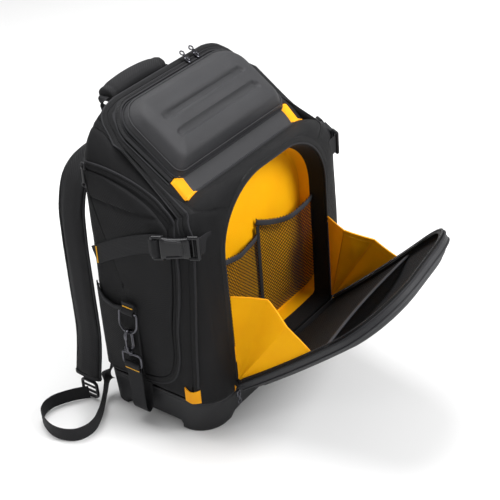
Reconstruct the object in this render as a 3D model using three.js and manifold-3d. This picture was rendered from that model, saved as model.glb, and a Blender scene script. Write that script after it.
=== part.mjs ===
// A tool backpack that stands on a moulded boot, with its front door open and held by two folding
// gussets. Millimetres, +Z up. The front faces -Y, the wearer's back is at +Y, and +X is on the right
// for someone who looks at the front. The origin is on the floor under the middle of the boot.
import * as THREE from 'three';
import { mergeVertices } from 'three/addons/utils/BufferGeometryUtils.js';
import Module from 'manifold-3d';

const wasm = await Module();
wasm.setup();

// Driving sizes of the bag's body
const bagWidth = 386;
const bagDepth = 216;
const bagHeight = 502;
const backY = 98;
const frontY = backY - bagDepth;
const cloth = 2.6;
const clearance = 0.4;

// The front opening: an arch in a tall rim, and how far the body rounds back from it
const rimWidth = 268;
const rimFoot = 0.1534 * bagHeight;
const rimTop = 0.8207 * bagHeight;
const rimCorner = 0.388 * rimWidth;
const frontRounding = 46;
const backRounding = 25;

// The body's upper shoulders, at the front and at the back
const shoulderFrontWide = 66;
const shoulderFrontDrop = 58;
const shoulderBackWide = 80;
const shoulderBackDrop = 72;

// The moulded boot
const bootHeight = 66;
const bootWall = 3;
const bootFloor = 18;
const bootFrontTaper = 17;
const bootSideTaper = 5;
const bootFrontCorner = 46;
const bootBackCorner = 25;
const footRise = 15;
const footSlope = 20;
const footFrontLength = 44;
const footSideLength = 54;

// The front compartment
const pocketDepth = 52;
const lining = 1.6;
const meshCloth = 1.2;
const meshSeamX = 7;
const meshSideMouth = 0.695 * rimTop;
const meshLowMouth = 0.633 * rimTop;
const meshRightMouth = 0.672 * rimTop;
const meshBulge = 9;

// The door, a moulded panel that hangs on its lower edge
const doorOpen = 51.6;
const doorLift = 7.3;
const doorTwist = 2.75;
const doorDrift = 15;
const doorShell = 3;
const doorEdge = 13;
const doorCrown = 21;
const doorHingeGap = 0.5;
const doorPocketMouth = 0.59 * (rimTop - rimFoot);

// The folding gussets: distances from the hinge line, and how far the fold comes inwards
const gussetCloth = 1.5;
const gussetReach = 0.4866 * (rimTop - rimFoot);
const gussetFold = 27;
const gussetFoot = 12;
const gussetFoldShare = 0.34;
const gussetHemShare = 0.66;

// Zips and bindings
const zipWidth = 18;
const zipThick = 2.2;
const rimBand = 8;
const rimBandThick = 3;

// The moulded lid on the slanting top
const lidWidth = 268;
const lidLength = 137;
const lidHeight = 35;
const lidWall = 3;
const lidInset = 27;
const lidCorner = 42;
const lidGrooveDepth = 3;
const lidGrooveWide = 13;
const lidStripThick = 2;

// The sides
const sidePadThick = 5;
const sideZipHalf = 4.5;
const sideZipThick = 3.2;
const sidePocketCloth = 2.2;
const sidePocketBulge = 7;
const sidePocketMouth = 0.4263 * bagHeight;
const strapWide = 30;
const strapThick = 1.8;
const buckleLength = 70;
const buckleWide = 38;
const buckleThick = 11;
const buckleTurn = 28;
const strapHeight = 0.695 * bagHeight;
const strapDrop = 0.125 * bagHeight;

// The hook, its ring and its strap on the left side
const hookY = 15;
const hookStand = 0.84;
const ringWire = 3.4;
const ringWide = 38;
const ringTop = 0.4203 * bagHeight;
const hookWire = 4;
const gateWide = 3;
const hookStrapWide = 30;
const hookStrapFoot = 24;

// The harness
const padWide = 54;
const padThick = 13;
const webWide = 25;
const webThick = 1.8;
const backPadThick = 13;
const backPadWide = 104;
const gripLength = 128;
const gripThick = 38;

// Colours of the real materials
const finishes = {
  fabric: { color: 0x1d1d1f, roughness: 0.85, metalness: 0 },
  softFabric: { color: 0x2b2b2d, roughness: 0.8, metalness: 0 },
  moulded: { color: 0x48484a, roughness: 0.6, metalness: 0 },
  rubber: { color: 0x38383a, roughness: 0.7, metalness: 0 },
  yellow: { color: 0xf5b21a, roughness: 0.75, metalness: 0 },
  mesh: { color: 0x141414, roughness: 0.9, metalness: 0 },
  webbing: { color: 0x232325, roughness: 0.8, metalness: 0 },
  plastic: { color: 0x1a1a1b, roughness: 0.45, metalness: 0 },
  blackMetal: { color: 0x17171a, roughness: 0.35, metalness: 1 },
  steel: { color: 0xb8b8bc, roughness: 0.3, metalness: 1 },
};

const part = new THREE.Group();

function add(name, geometry, finish) {
  const mesh = new THREE.Mesh(geometry, new THREE.MeshStandardMaterial(finishes[finish]));
  mesh.name = name;
  part.add(mesh);
}

// Small helpers for numbers and points

const degrees = THREE.MathUtils.degToRad;
const lerp = THREE.MathUtils.lerp;
const clamp = THREE.MathUtils.clamp;
const point = (x, y, z) => new THREE.Vector3(x, y, z);
const mirrored = (p) => point(-p.x, p.y, p.z);

function steps(count, fn) {
  return Array.from({ length: count + 1 }, (_, i) => fn(i / count));
}

function tableValue(table, key, value, at) {
  const last = table.length - 1;
  if (at <= table[0][key]) return table[0][value];
  for (let i = 1; i <= last; i += 1) {
    const a = table[i - 1];
    const b = table[i];
    if (at <= b[key]) return lerp(a[value], b[value], (at - a[key]) / (b[key] - a[key]));
  }
  return table[last][value];
}

// A closed mesh from points and triangles, turned so that its faces point out
function closedGeometry(points, faces) {
  let volume = 0;
  for (const [a, b, c] of faces) {
    volume += points[a].dot(points[b].clone().cross(points[c]));
  }
  const turned = volume < 0 ? faces.map(([a, b, c]) => [a, c, b]) : faces;
  const geometry = new THREE.BufferGeometry().setFromPoints(points);
  geometry.setIndex(turned.flat());
  return geometry;
}

// Rings of equal length joined side by side. The ends are closed by fans, or the last joins the first.
function loft(rings, endless = false) {
  const n = rings[0].length;
  const points = rings.flat();
  const faces = [];
  const bands = endless ? rings.length : rings.length - 1;
  for (let r = 0; r < bands; r += 1) {
    const next = (r + 1) % rings.length;
    for (let i = 0; i < n; i += 1) {
      const j = (i + 1) % n;
      const a = r * n + i;
      const b = r * n + j;
      const c = next * n + j;
      const d = next * n + i;
      faces.push([a, b, c], [a, c, d]);
    }
  }
  if (!endless) {
    for (const [ring, turn] of [[0, true], [rings.length - 1, false]]) {
      const middle = point(0, 0, 0);
      for (const p of rings[ring]) middle.addScaledVector(p, 1 / n);
      points.push(middle);
      const m = points.length - 1;
      for (let i = 0; i < n; i += 1) {
        const a = ring * n + i;
        const b = ring * n + ((i + 1) % n);
        faces.push(turn ? [m, b, a] : [m, a, b]);
      }
    }
  }
  return closedGeometry(points, faces);
}

// A sheet between two grids of points, face and back, with its four edges closed
function sheet(face, back) {
  const rows = face.length;
  const cols = face[0].length;
  const points = [...face.flat(), ...back.flat()];
  const faces = [];
  const shift = rows * cols;
  const at = (r, c) => r * cols + c;
  for (let r = 0; r < rows - 1; r += 1) {
    for (let c = 0; c < cols - 1; c += 1) {
      const [p, q, s, t] = [at(r, c), at(r, c + 1), at(r + 1, c + 1), at(r + 1, c)];
      faces.push([p, q, s], [p, s, t]);
      faces.push([p + shift, s + shift, q + shift], [p + shift, t + shift, s + shift]);
    }
  }
  const edge = [];
  for (let c = 0; c < cols - 1; c += 1) edge.push(at(0, c));
  for (let r = 0; r < rows - 1; r += 1) edge.push(at(r, cols - 1));
  for (let c = cols - 1; c > 0; c -= 1) edge.push(at(rows - 1, c));
  for (let r = rows - 1; r > 0; r -= 1) edge.push(at(r, 0));
  edge.forEach((a, i) => {
    const b = edge[(i + 1) % edge.length];
    faces.push([a, b + shift, b], [a, a + shift, b + shift]);
  });
  return closedGeometry(points, faces);
}

// A solid of manifold-3d from a geometry, and back
function solid(geometry) {
  const bare = geometry.clone();
  for (const name of Object.keys(bare.attributes)) {
    if (name !== 'position') bare.deleteAttribute(name);
  }
  const merged = mergeVertices(bare, 1e-4);
  return new wasm.Manifold(new wasm.Mesh({
    numProp: 3,
    vertProperties: new Float32Array(merged.attributes.position.array),
    triVerts: new Uint32Array(merged.index.array),
  }));
}

function geometryOf(body) {
  const mesh = body.getMesh();
  const geometry = new THREE.BufferGeometry();
  geometry.setAttribute('position', new THREE.BufferAttribute(new Float32Array(mesh.vertProperties), 3));
  geometry.setIndex(new THREE.BufferAttribute(new Uint32Array(mesh.triVerts), 1));
  return geometry;
}

function box(x0, x1, y0, y1, z0, z1) {
  const geometry = new THREE.BoxGeometry(x1 - x0, y1 - y0, z1 - z0);
  geometry.translate((x0 + x1) / 2, (y0 + y1) / 2, (z0 + z1) / 2);
  return geometry;
}

// An outline given as [y, z] rows, carried along X from x0 to x1
function knife(outline, x0, x1) {
  const rings = [x0, x1].map((x) => outline.map(([y, z]) => point(x, y, z)));
  return prism(rings);
}

// Two matching flat rings joined, with caps cut to the outline's own corners
function prism(rings) {
  const n = rings[0].length;
  const flat = rings[0].map((p) => new THREE.Vector2(p.y, p.z));
  const caps = THREE.ShapeUtils.triangulateShape(flat, []);
  const faces = [];
  for (let i = 0; i < n; i += 1) {
    const j = (i + 1) % n;
    faces.push([i, j, n + j], [i, n + j, n + i]);
  }
  const turn = THREE.ShapeUtils.area(flat) > 0;
  for (const [a, b, c] of caps) {
    faces.push(turn ? [a, c, b] : [a, b, c]);
    faces.push(turn ? [n + a, n + b, n + c] : [n + a, n + c, n + b]);
  }
  return closedGeometry(rings.flat(), faces);
}

// The outline of a strip of the given half width on both sides of a [y, z] path
function stripOutline(path, half) {
  const left = [];
  const right = [];
  path.forEach(([y, z], i) => {
    const [y0, z0] = path[Math.max(i - 1, 0)];
    const [y1, z1] = path[Math.min(i + 1, path.length - 1)];
    const length = Math.hypot(y1 - y0, z1 - z0);
    const [ny, nz] = [-(z1 - z0) / length, (y1 - y0) / length];
    left.push([y + ny * half, z + nz * half]);
    right.unshift([y - ny * half, z - nz * half]);
  });
  return [...left, ...right];
}

// A flat section [across, out] carried along a path. The across directions are given per point.
function sweep(path, across, section, endless = false) {
  const n = path.length;
  const rings = path.map((p, i) => {
    const before = path[endless ? (i + n - 1) % n : Math.max(i - 1, 0)];
    const after = path[endless ? (i + 1) % n : Math.min(i + 1, n - 1)];
    const along = after.clone().sub(before).normalize();
    const side = across[i].clone().addScaledVector(along, -across[i].dot(along)).normalize();
    const out = side.clone().cross(along);
    return section.map(([u, v]) => p.clone().addScaledVector(side, u).addScaledVector(out, v));
  });
  return loft(rings, endless);
}

const flatSection = (wide, thick) => [
  [-wide / 2, -thick / 2], [wide / 2, -thick / 2], [wide / 2, thick / 2], [-wide / 2, thick / 2],
];

function roundSection(wide, thick, count, power = 1) {
  return steps(count - 1, (t) => {
    const a = (2 * Math.PI * t * (count - 1)) / count;
    const [c, s] = [Math.cos(a), Math.sin(a)];
    return [
      (wide / 2) * Math.sign(c) * Math.abs(c) ** power,
      (thick / 2) * Math.sign(s) * Math.abs(s) ** power,
    ];
  });
}

function curve(points, count) {
  return new THREE.CatmullRomCurve3(points, false, 'centripetal').getPoints(count);
}

// The bag's body. Its top and sides follow two tables of shares of the named sizes.

const topProfile = [
  { place: 'rim', depth: 0, height: rimTop / bagHeight },
  { place: 'behind rim', depth: 0.106, height: 0.811 },
  { place: 'valley', depth: 0.222, height: 0.791 },
  { place: 'strip front', depth: 0.241, height: 0.787 },
  { place: 'lid front', depth: 0.333, height: 0.829 },
  { place: 'lid back', depth: 0.833, height: 0.986 },
  { place: 'back edge', depth: 0.917, height: 1 },
  { place: 'back face', depth: 1, height: 1 },
];

const sideProfile = [
  { place: 'floor', height: 0, width: 1 },
  { place: 'boot top', height: 0.14, width: 1 },
  { place: 'waist', height: 0.458, width: 0.984 },
  { place: 'shoulder', height: 0.757, width: 0.953 },
  { place: 'top', height: 1.04, width: 0.922 },
];

const cornerY = frontY + frontRounding;
const profileY = (row) => frontY + row.depth * bagDepth;
const rowAt = (place) => topProfile.find((row) => row.place === place);
const stripFrontY = profileY(rowAt('strip front'));
const lidFrontY = profileY(rowAt('lid front'));
const lidBackY = profileY(rowAt('lid back'));

const topZ = (y) => bagHeight * tableValue(topProfile, 'depth', 'height', (y - frontY) / bagDepth);
const sideX = (z) => (bagWidth / 2) * tableValue(sideProfile, 'height', 'width', z / bagHeight);

function shoulder(y) {
  const t = clamp((y - cornerY) / (lidBackY - cornerY), 0, 1);
  return [lerp(shoulderFrontWide, shoulderBackWide, t), lerp(shoulderFrontDrop, shoulderBackDrop, t)];
}

const frontPast = (y) => Math.max(0, cornerY - y) / frontRounding;
const frontShare = (y) => Math.sqrt(Math.max(0, 1 - frontPast(y) ** 2));

function backInset(y, grow) {
  const radius = backRounding + grow;
  const past = clamp((y - (backY - backRounding)) / radius, 0, 1);
  return radius * (1 - Math.sqrt(1 - past * past));
}

// Half of one cross-section at depth y, grown outwards by grow, from the bottom middle to the top middle
function halfSection(y, grow) {
  const [wide, drop] = shoulder(y);
  const inset = backInset(y, grow);
  const top = topZ(Math.max(y, frontY)) + grow - inset;
  const foot = rimFoot - 50 - grow;
  const corner = 10;
  const share = frontShare(y);
  const full = [];
  const rim = [];
  const place = (fx, fz, rx, rz) => {
    full.push([fx, fz]);
    rim.push([rx, rz]);
  };
  const rimHalf = rimWidth / 2 + grow;
  const rimRound = rimCorner + grow;
  const rimTopZ = rimTop + grow;
  const rimFootZ = rimFoot - grow;
  const side = (z) => sideX(z) + grow - inset;
  place(0, foot, 0, rimFootZ);
  for (const t of [0, 0.5, 1]) {
    const [c, s] = [Math.cos((Math.PI / 2) * t), Math.sin((Math.PI / 2) * t)];
    const z = foot + corner * (1 - c);
    place(side(z) - corner * (1 - s), z, rimHalf - corner * (1 - s), rimFootZ + corner * (1 - c));
  }
  const wallFoot = foot + corner;
  const wallTop = top - drop - grow;
  for (const t of [0.25, 0.5, 0.75]) {
    const z = lerp(wallFoot, wallTop, t);
    place(side(z), z, rimHalf, lerp(rimFootZ + corner, rimTopZ - rimRound, t));
  }
  const wideNow = wide + grow;
  const dropNow = drop + grow;
  for (const t of steps(5, (s) => s)) {
    const [c, s] = [Math.cos((Math.PI / 2) * t), Math.sin((Math.PI / 2) * t)];
    const z = wallTop + dropNow * s;
    place(side(z) - wideNow * (1 - c), z, rimHalf - rimRound * (1 - c), rimTopZ - rimRound * (1 - s));
  }
  place(0, top, 0, rimTopZ);
  return full.map(([x, z], i) => [lerp(rim[i][0], x, share), lerp(rim[i][1], z, share)]);
}

function bodyRing(y, grow) {
  const half = halfSection(y, grow);
  const right = half.map(([x, z]) => point(x, y, z));
  const left = half.slice(1, -1).reverse().map(([x, z]) => point(-x, y, z));
  return [...right, ...left];
}

// The depths at which the body's sections are taken
const frontDepths = [90, 72, 52, 34, 17, 0].map((a) => cornerY - frontRounding * Math.sin(degrees(a)));
const middleDepths = [
  profileY(rowAt('valley')), stripFrontY, lidFrontY,
  lerp(lidFrontY, lidBackY, 1 / 2), lidBackY,
];

function bodyLoft(grow, startEarly = 0) {
  const radius = backRounding + grow;
  const backDepths = [0, 30, 60, 90].map((a) => backY - backRounding + radius * Math.sin(degrees(a)));
  const depths = [...frontDepths, ...middleDepths, ...backDepths];
  const firstRing = () => bodyRing(frontY, grow).map((p) => point(p.x, frontY - startEarly, p.z));
  const early = startEarly > 0 ? [firstRing()] : [];
  return solid(loft([...early, ...depths.map((y) => bodyRing(y, grow))]));
}

// Half width of the body's skin at a place on its side
function skinX(y, z, grow = 0) {
  const half = halfSection(y, grow);
  for (let i = half.length - 1; i > 0; i -= 1) {
    const [x1, z1] = half[i];
    const [x0, z0] = half[i - 1];
    if (z <= z1 && z >= z0 && z1 > z0) return lerp(x0, x1, (z - z0) / (z1 - z0));
  }
  return 0;
}

// The boot's outline at a height, as a rounded rectangle inside its walls

function bootRing(z, inset, footInset = 0, lift = 0) {
  const t = clamp(z / bootHeight, 0, 1);
  const halfX = lerp(bagWidth / 2 - bootSideTaper, bagWidth / 2, t) - inset;
  const front = lerp(frontY + 1.5 + bootFrontTaper, frontY + 1.5, t) + inset;
  const back = backY - inset;
  const frontRound = bootFrontCorner - inset;
  const backRound = bootBackCorner - inset;
  const corners = [
    { x: halfX - backRound, y: back - backRound, r: backRound, from: 0 },
    { x: -halfX + backRound, y: back - backRound, r: backRound, from: 90 },
    { x: -halfX + frontRound, y: front + frontRound, r: frontRound, from: 180 },
    { x: halfX - frontRound, y: front + frontRound, r: frontRound, from: 270 },
  ];
  const ring = [];
  corners.forEach((corner, k) => {
    for (const s of steps(4, (v) => v)) {
      const a = degrees(corner.from + 90 * s);
      ring.push(point(corner.x + corner.r * Math.cos(a), corner.y + corner.r * Math.sin(a), z));
    }
    const here = ring[ring.length - 1];
    const next = corners[(k + 1) % 4];
    const a = degrees(next.from);
    const there = point(next.x + next.r * Math.cos(a), next.y + next.r * Math.sin(a), z);
    const span = here.distanceTo(there);
    const foot = k % 2 === 0 ? footFrontLength - frontRound : footSideLength - backRound;
    const reach = clamp(Math.max(foot, 6) / span, 0.02, 0.4);
    for (const s of [reach, reach + 0.02, 0.5, 0.98 - reach, 1 - reach]) {
      ring.push(here.clone().lerp(there, s));
    }
  });
  const middle = point(0, (front + back) / 2, z);
  return ring.map((p, i) => {
    const k = i % 10;
    const between = k >= 6 && k <= 8;
    const moved = p.clone();
    if (between) {
      const toMiddle = middle.clone().sub(p);
      const onSide = Math.abs(p.x) > halfX - 1;
      const inward = onSide ? point(Math.sign(toMiddle.x), 0, 0) : point(0, Math.sign(toMiddle.y), 0);
      moved.addScaledVector(inward, footInset);
      moved.z += lift;
    }
    return moved;
  });
}

function makeBoot() {
  const outer = solid(loft([
    bootRing(0, 0.6, footSlope),
    bootRing(1.5, 0, footSlope - 4, 1.5),
    bootRing(footRise, 0, 0, 0),
    bootRing(bootHeight / 2, 0),
    bootRing(bootHeight, 0),
  ]));
  const cavity = solid(loft([bootRing(bootFloor, bootWall), bootRing(bootHeight + 1, bootWall)]));
  add('base_boot', geometryOf(outer.subtract(cavity)), 'rubber');
}

// The line along which the body opens, seen from the side, as shares of the depth and height
const openingLine = [
  { depth: 0.167, height: 0.1 },
  { depth: 0.134, height: 0.404 },
  { depth: 0.108, height: 0.65 },
  { depth: 0.112, height: 0.715 },
  { depth: 0.181, height: 0.767 },
  { depth: 0.306, height: 0.801 },
  { depth: 0.426, height: 0.835 },
  { depth: 0.565, height: 0.87 },
  { depth: 0.671, height: 0.9 },
  { depth: 0.801, height: 0.952 },
  { depth: 0.889, height: 0.982 },
  { depth: 0.94, height: 1.03 },
];
const openingPath = openingLine.map((row) => [frontY + row.depth * bagDepth, row.height * bagHeight]);

function makeBody() {
  const ledge = bootHeight + clearance;
  const aboveBoot = solid(box(-bagWidth, bagWidth, -bagDepth, bagDepth, ledge, bagHeight * 1.3));
  const aboveFloor = solid(box(-bagWidth, bagWidth, -bagDepth, bagDepth, ledge + cloth, bagHeight * 1.3));
  const inBoot = bootWall + clearance;
  const lower = solid(loft([bootRing(bootFloor + clearance, inBoot), bootRing(ledge + 0.2, inBoot)]));
  const lowerInside = solid(loft([
    bootRing(bootFloor + clearance + cloth, inBoot + cloth),
    bootRing(ledge + cloth + 1, inBoot + cloth),
  ]));
  const outside = bodyLoft(0).intersect(aboveBoot).add(lower);
  const inside = bodyLoft(-cloth, 2).intersect(aboveFloor).add(lowerInside);
  const shell = outside.subtract(inside);

  // The front part starts above the ledge that the boot's rim meets, behind a narrow gap
  const ahead = (start, shift) => solid(knife([
    [frontY - bagDepth, start],
    [openingPath[0][0] + shift, start],
    ...openingPath.filter(([, z]) => z > start).map(([y, z]) => [y + shift, z - shift]),
    [backY + shift, bagHeight * 1.3],
    [frontY - bagDepth, bagHeight * 1.3],
  ], -bagWidth, bagWidth));
  const frontRegion = ahead(ledge + cloth + clearance / 2, -clearance / 2);
  const keepOut = ahead(ledge + cloth - clearance, clearance / 2);
  add('main_shell', geometryOf(shell.subtract(keepOut)), 'fabric');
  add('front_shell', geometryOf(shell.intersect(frontRegion)), 'fabric');
}

// A layer that lies on the body's skin, from one height over it to another
function skinLayer(from, to) {
  return bodyLoft(to).subtract(bodyLoft(from));
}

const outerLayer = skinLayer(clearance + 0.1, clearance + 0.1 + zipThick);

function makeMainZip() {
  const end = bootHeight + 30;
  const path = openingPath.filter(([, z]) => z > end);
  const [y0] = openingPath[0];
  const line = [[y0, end], ...path];
  const strip = solid(knife(stripOutline(line, zipWidth / 2), -bagWidth, bagWidth));
  add('main_zip', geometryOf(outerLayer.intersect(strip).subtract(lidRoom())), 'webbing');
  const tabHalf = zipWidth / 2 + 4;
  const tab = [
    [y0 - tabHalf, bootHeight + 1], [y0 + tabHalf, bootHeight + 1],
    [y0 + tabHalf, end - 1], [y0 - tabHalf, end - 1],
  ];
  const tabs = outerLayer.intersect(solid(knife(tab, -bagWidth, bagWidth)));
  for (const [name, x0, x1] of [['zip_tab_left', -bagWidth, 0], ['zip_tab_right', 0, bagWidth]]) {
    add(name, geometryOf(tabs.intersect(solid(box(x0, x1, -bagDepth, bagDepth, 0, bagHeight)))), 'yellow');
  }
}

// The front compartment: a lined cup that hangs on the rim, and its two mesh pockets

const wallY = frontY + pocketDepth;

function archRing(y, half, foot, top, round, corner = 8, sidePoints = 0) {
  const right = [];
  right.push(point(0, y, foot));
  for (const t of [0, 0.5, 1]) {
    const a = (Math.PI / 2) * t;
    right.push(point(half - corner * (1 - Math.sin(a)), y, foot + corner * (1 - Math.cos(a))));
  }
  for (let i = 1; i <= sidePoints; i += 1) {
    right.push(point(half, y, lerp(foot + corner, top - round, i / (sidePoints + 1))));
  }
  for (const t of steps(7, (s) => s)) {
    const a = (Math.PI / 2) * t;
    right.push(point(half - round * (1 - Math.cos(a)), y, top - round * (1 - Math.sin(a))));
  }
  right.push(point(0, y, top));
  const left = right.slice(1, -1).reverse().map(mirrored);
  return [...right, ...left];
}

const cupHalf = rimWidth / 2 - cloth - clearance;
const cupFoot = rimFoot + cloth + clearance;
const cupTop = rimTop - cloth - clearance;
const cupRound = rimCorner - cloth - clearance;
const footCorner = 10 - clearance;
const cupBackTop = topZ(wallY) - cloth - 4;

function makeCup() {
  const ring = (y, inset) => {
    const t = (y - frontY) / pocketDepth;
    const top = lerp(cupTop, cupBackTop, t);
    return archRing(y, cupHalf - inset, cupFoot + inset, top - inset, cupRound - inset, footCorner - inset);
  };
  const outer = solid(loft([ring(frontY + 0.5, 0), ring(wallY, 0)]));
  const inner = solid(loft([ring(frontY - 2, lining), ring(wallY - lining, lining)]));
  add('front_pocket', geometryOf(outer.subtract(inner)), 'yellow');
}

// A mesh pocket stands off the wall between two sewn edges, deepest below its middle
const meshTable = [
  {
    name: 'mesh_pocket_left', from: -1, to: 0, mouthFrom: meshSideMouth, mouthTo: meshLowMouth,
    sag: 5, startOut: 22, endOut: 1, folds: 0.16,
  },
  {
    name: 'mesh_pocket_right', from: 0, to: 1, mouthFrom: meshSideMouth, mouthTo: meshRightMouth,
    sag: 14, startOut: 1, endOut: 22, folds: 0.2,
  },
];

function meshPoint(row, u, v, thick) {
  const edge = cupHalf - lining - clearance;
  const x0 = row.from < 0 ? -edge : meshSeamX + clearance;
  const x1 = row.to > 0 ? edge : meshSeamX - clearance;
  const foot = cupFoot + footCorner;
  const mouth = lerp(row.mouthFrom, row.mouthTo, u) - row.sag * Math.sin(Math.PI * u);
  const belly = Math.sin(Math.PI * u) ** 0.7 * (0.55 + 0.45 * Math.sin(Math.PI * clamp(v, 0, 0.9)));
  const fold = 1 + row.folds * Math.cos(4 * Math.PI * u);
  const rise = Math.sin((Math.PI / 2) * clamp(v / 0.25, 0, 1));
  const sewn = lerp(row.startOut, row.endOut, u) * rise;
  const out = sewn + meshBulge * belly * fold * rise;
  const y = wallY - lining - clearance - thick - out;
  return point(lerp(x0, x1, u), y, lerp(foot, mouth, v));
}

function makeMeshPockets() {
  for (const row of meshTable) {
    const grid = (thick) => steps(6, (v) => steps(10, (u) => meshPoint(row, u, v, thick)));
    add(row.name, sheet(grid(meshCloth), grid(0)), 'mesh');
  }
}

// The door. A point is given by how far it lies across, how far from the hinge, and how far out.

const doorReach = rimTop - rimFoot;
const doorHalf = rimWidth / 2;

function doorPoint(x, reach, out) {
  const start = degrees(doorOpen - (doorTwist * x) / doorHalf);
  const bend = -degrees(doorLift) / doorReach;
  const angle = start + bend * reach;
  return point(
    x + (doorDrift * reach) / doorReach,
    frontY - (Math.cos(start) - Math.cos(angle)) / bend - out * Math.cos(angle),
    rimFoot + (Math.sin(angle) - Math.sin(start)) / bend - out * Math.sin(angle),
  );
}

// The door's outline in its own plane, drawn in by inset, as rows of [across, from the hinge]
function doorOutline(inset, shift = 0) {
  const round = Math.max(rimCorner - inset, 4);
  const ring = archRing(0, doorHalf - inset, doorHingeGap + inset + shift, doorReach - inset, round, 12, 2);
  return ring.map((p) => [p.x, p.z]);
}

// Each ring of the door's dome: how far it is drawn in, and its height as a share of edge and crown
const domeRows = [
  { inset: 0, edge: 0.04, crown: 0 },
  { inset: 1, edge: 0.75, crown: 0 },
  { inset: 6, edge: 1, crown: 0.08 },
  { inset: 20, edge: 1, crown: 0.4 },
  { inset: 44, edge: 1, crown: 0.75 },
  { inset: 76, edge: 1, crown: 0.94 },
  { inset: 108, edge: 1, crown: 1 },
];

function domeRings(inwards) {
  return domeRows.map((row) => {
    const outline = doorOutline(row.inset + inwards);
    const out = doorEdge * row.edge + doorCrown * row.crown - (row.edge > 0.1 ? inwards : -0.01);
    return outline.map(([x, reach]) => doorPoint(x, reach, out));
  });
}

function makeDoor() {
  const outer = domeRings(0);
  const inner = domeRings(doorShell).slice(1);
  const lip = doorOutline(doorShell).map(([x, reach]) => doorPoint(x, reach, doorEdge * domeRows[0].edge));
  add('front_door', loft([...outer].reverse().concat([lip], inner)), 'moulded');

  const band = doorRim(clearance, clearance + rimBandThick, 1, rimBand);
  add('door_zip', band, 'webbing');

  const half = doorHalf - doorShell - 1.5;
  const pocket = (lift) => steps(5, (v) => steps(6, (u) => {
    const x = lerp(-half, half, u);
    const reach = lerp(doorHingeGap + doorShell + 14, doorPocketMouth - 6 * Math.sin(Math.PI * u), v);
    return doorPoint(x, reach, 5 + lift);
  }));
  add('door_pocket', sheet(pocket(0), pocket(meshCloth)), 'mesh');
}

// A band that runs round the door's edge from one hinge end to the other, on the side that meets the rim
function doorRim(from, to, outset, wide) {
  const path = archPath(doorHalf, doorHingeGap + 10, doorReach, rimCorner);
  const ring = ([x, reach], [nx, nr]) => [
    doorPoint(x - nx * outset, reach - nr * outset, -from),
    doorPoint(x - nx * (outset + wide), reach - nr * (outset + wide), -from),
    doorPoint(x - nx * (outset + wide), reach - nr * (outset + wide), -to),
    doorPoint(x - nx * outset, reach - nr * outset, -to),
  ];
  return loft(path.map((row) => ring(row.at, row.normal)));
}

// Points and outward normals along an arch, up one side, over the top and down the other
function archPath(half, foot, top, round) {
  const rows = [];
  const spring = top - round;
  for (const t of [0, 0.34, 0.67]) {
    rows.push({ at: [-half, lerp(foot, spring, t)], normal: [-1, 0] });
  }
  for (const t of steps(9, (s) => s)) {
    const a = Math.PI * (1 - t / 2);
    const normal = [Math.cos(a), Math.sin(a)];
    rows.push({ at: [-half + round + round * normal[0], spring + round * normal[1]], normal });
  }
  const mirrored = ([x, z]) => [-x, z];
  const turned = ({ at, normal }) => ({ at: mirrored(at), normal: mirrored(normal) });
  const mirrorRows = [...rows].reverse().map(turned);
  return [...rows, ...mirrorRows];
}

// The zip's other half stands on the rim of the opening
function makeRimZip() {
  const path = archPath(rimWidth / 2, rimFoot + 9, rimTop, rimCorner);
  const [near, far] = [frontY - clearance, frontY - clearance - rimBandThick];
  const rings = path.map(({ at: [x, z], normal: [nx, nz] }) => [
    point(x + nx * 0.8, near, z + nz * 0.8),
    point(x - nx * (rimBand - 0.8), near, z - nz * (rimBand - 0.8)),
    point(x - nx * (rimBand - 0.8), far, z - nz * (rimBand - 0.8)),
    point(x + nx * 0.8, far, z + nz * 0.8),
  ]);
  add('rim_zip', loft(rings), 'webbing');
  for (const [name, sign] of [['rim_tab_left', -1], ['rim_tab_right', 1]]) {
    const x = sign * (rimWidth / 2 + 5);
    const y = frontY - clearance;
    const corners = [[x, rimFoot - 9], [x, rimFoot + 6], [x - sign * 7, rimFoot - 3]];
    const rings = [y, y - 2.4].map((d) => corners.map(([cx, cz]) => point(cx, d, cz)));
    add(name, loft(rings), 'yellow');
  }
}

// The gussets. Each top edge runs rim, inward fold, hem corner, door; both sides meet at the hinge.

function gussetCorners(sign, share) {
  const half = rimWidth / 2 - rimBand / 2;
  const seat = rimBandThick + 2 * clearance;
  const reach = lerp(gussetFoot, gussetReach, share);
  const rim = point(sign * half, frontY - seat, rimFoot + reach);
  const door = doorPoint(sign * half, reach + 12 * share, -seat - clearance);
  const between = (part, inwards) => {
    const p = rim.clone().lerp(door, part);
    const angle = degrees(doorOpen * part);
    const rise = (1 - Math.cos(degrees(doorOpen / 2))) * gussetReach * share;
    return point(sign * (half - inwards * share), p.y - rise * Math.sin(angle), p.z + rise * Math.cos(angle));
  };
  const fold = between(gussetFoldShare, gussetFold - 3);
  const hem = between(gussetHemShare, 4);
  return [rim, fold, hem, door];
}

function makeGussets() {
  for (const [name, sign] of [['gusset_left', -1], ['gusset_right', 1]]) {
    const face = [0, 0.25, 0.5, 0.75, 1].map((share) => gussetCorners(sign, share));
    const back = face.map((row) => row.map((p) => p.clone().add(point(-sign * gussetCloth, 0, 0))));
    add(name, sheet(face, back), 'yellow');
  }
}

// The lid. A point is given by how far it lies across, how far up the slope, and how far out.

const lidSlope = Math.atan2(topZ(lidBackY) - topZ(lidFrontY), lidBackY - lidFrontY);

function lidPoint(x, along, out) {
  return point(
    x,
    lidFrontY + along * Math.cos(lidSlope) - out * Math.sin(lidSlope),
    topZ(lidFrontY) + along * Math.sin(lidSlope) + out * Math.cos(lidSlope),
  );
}

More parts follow.
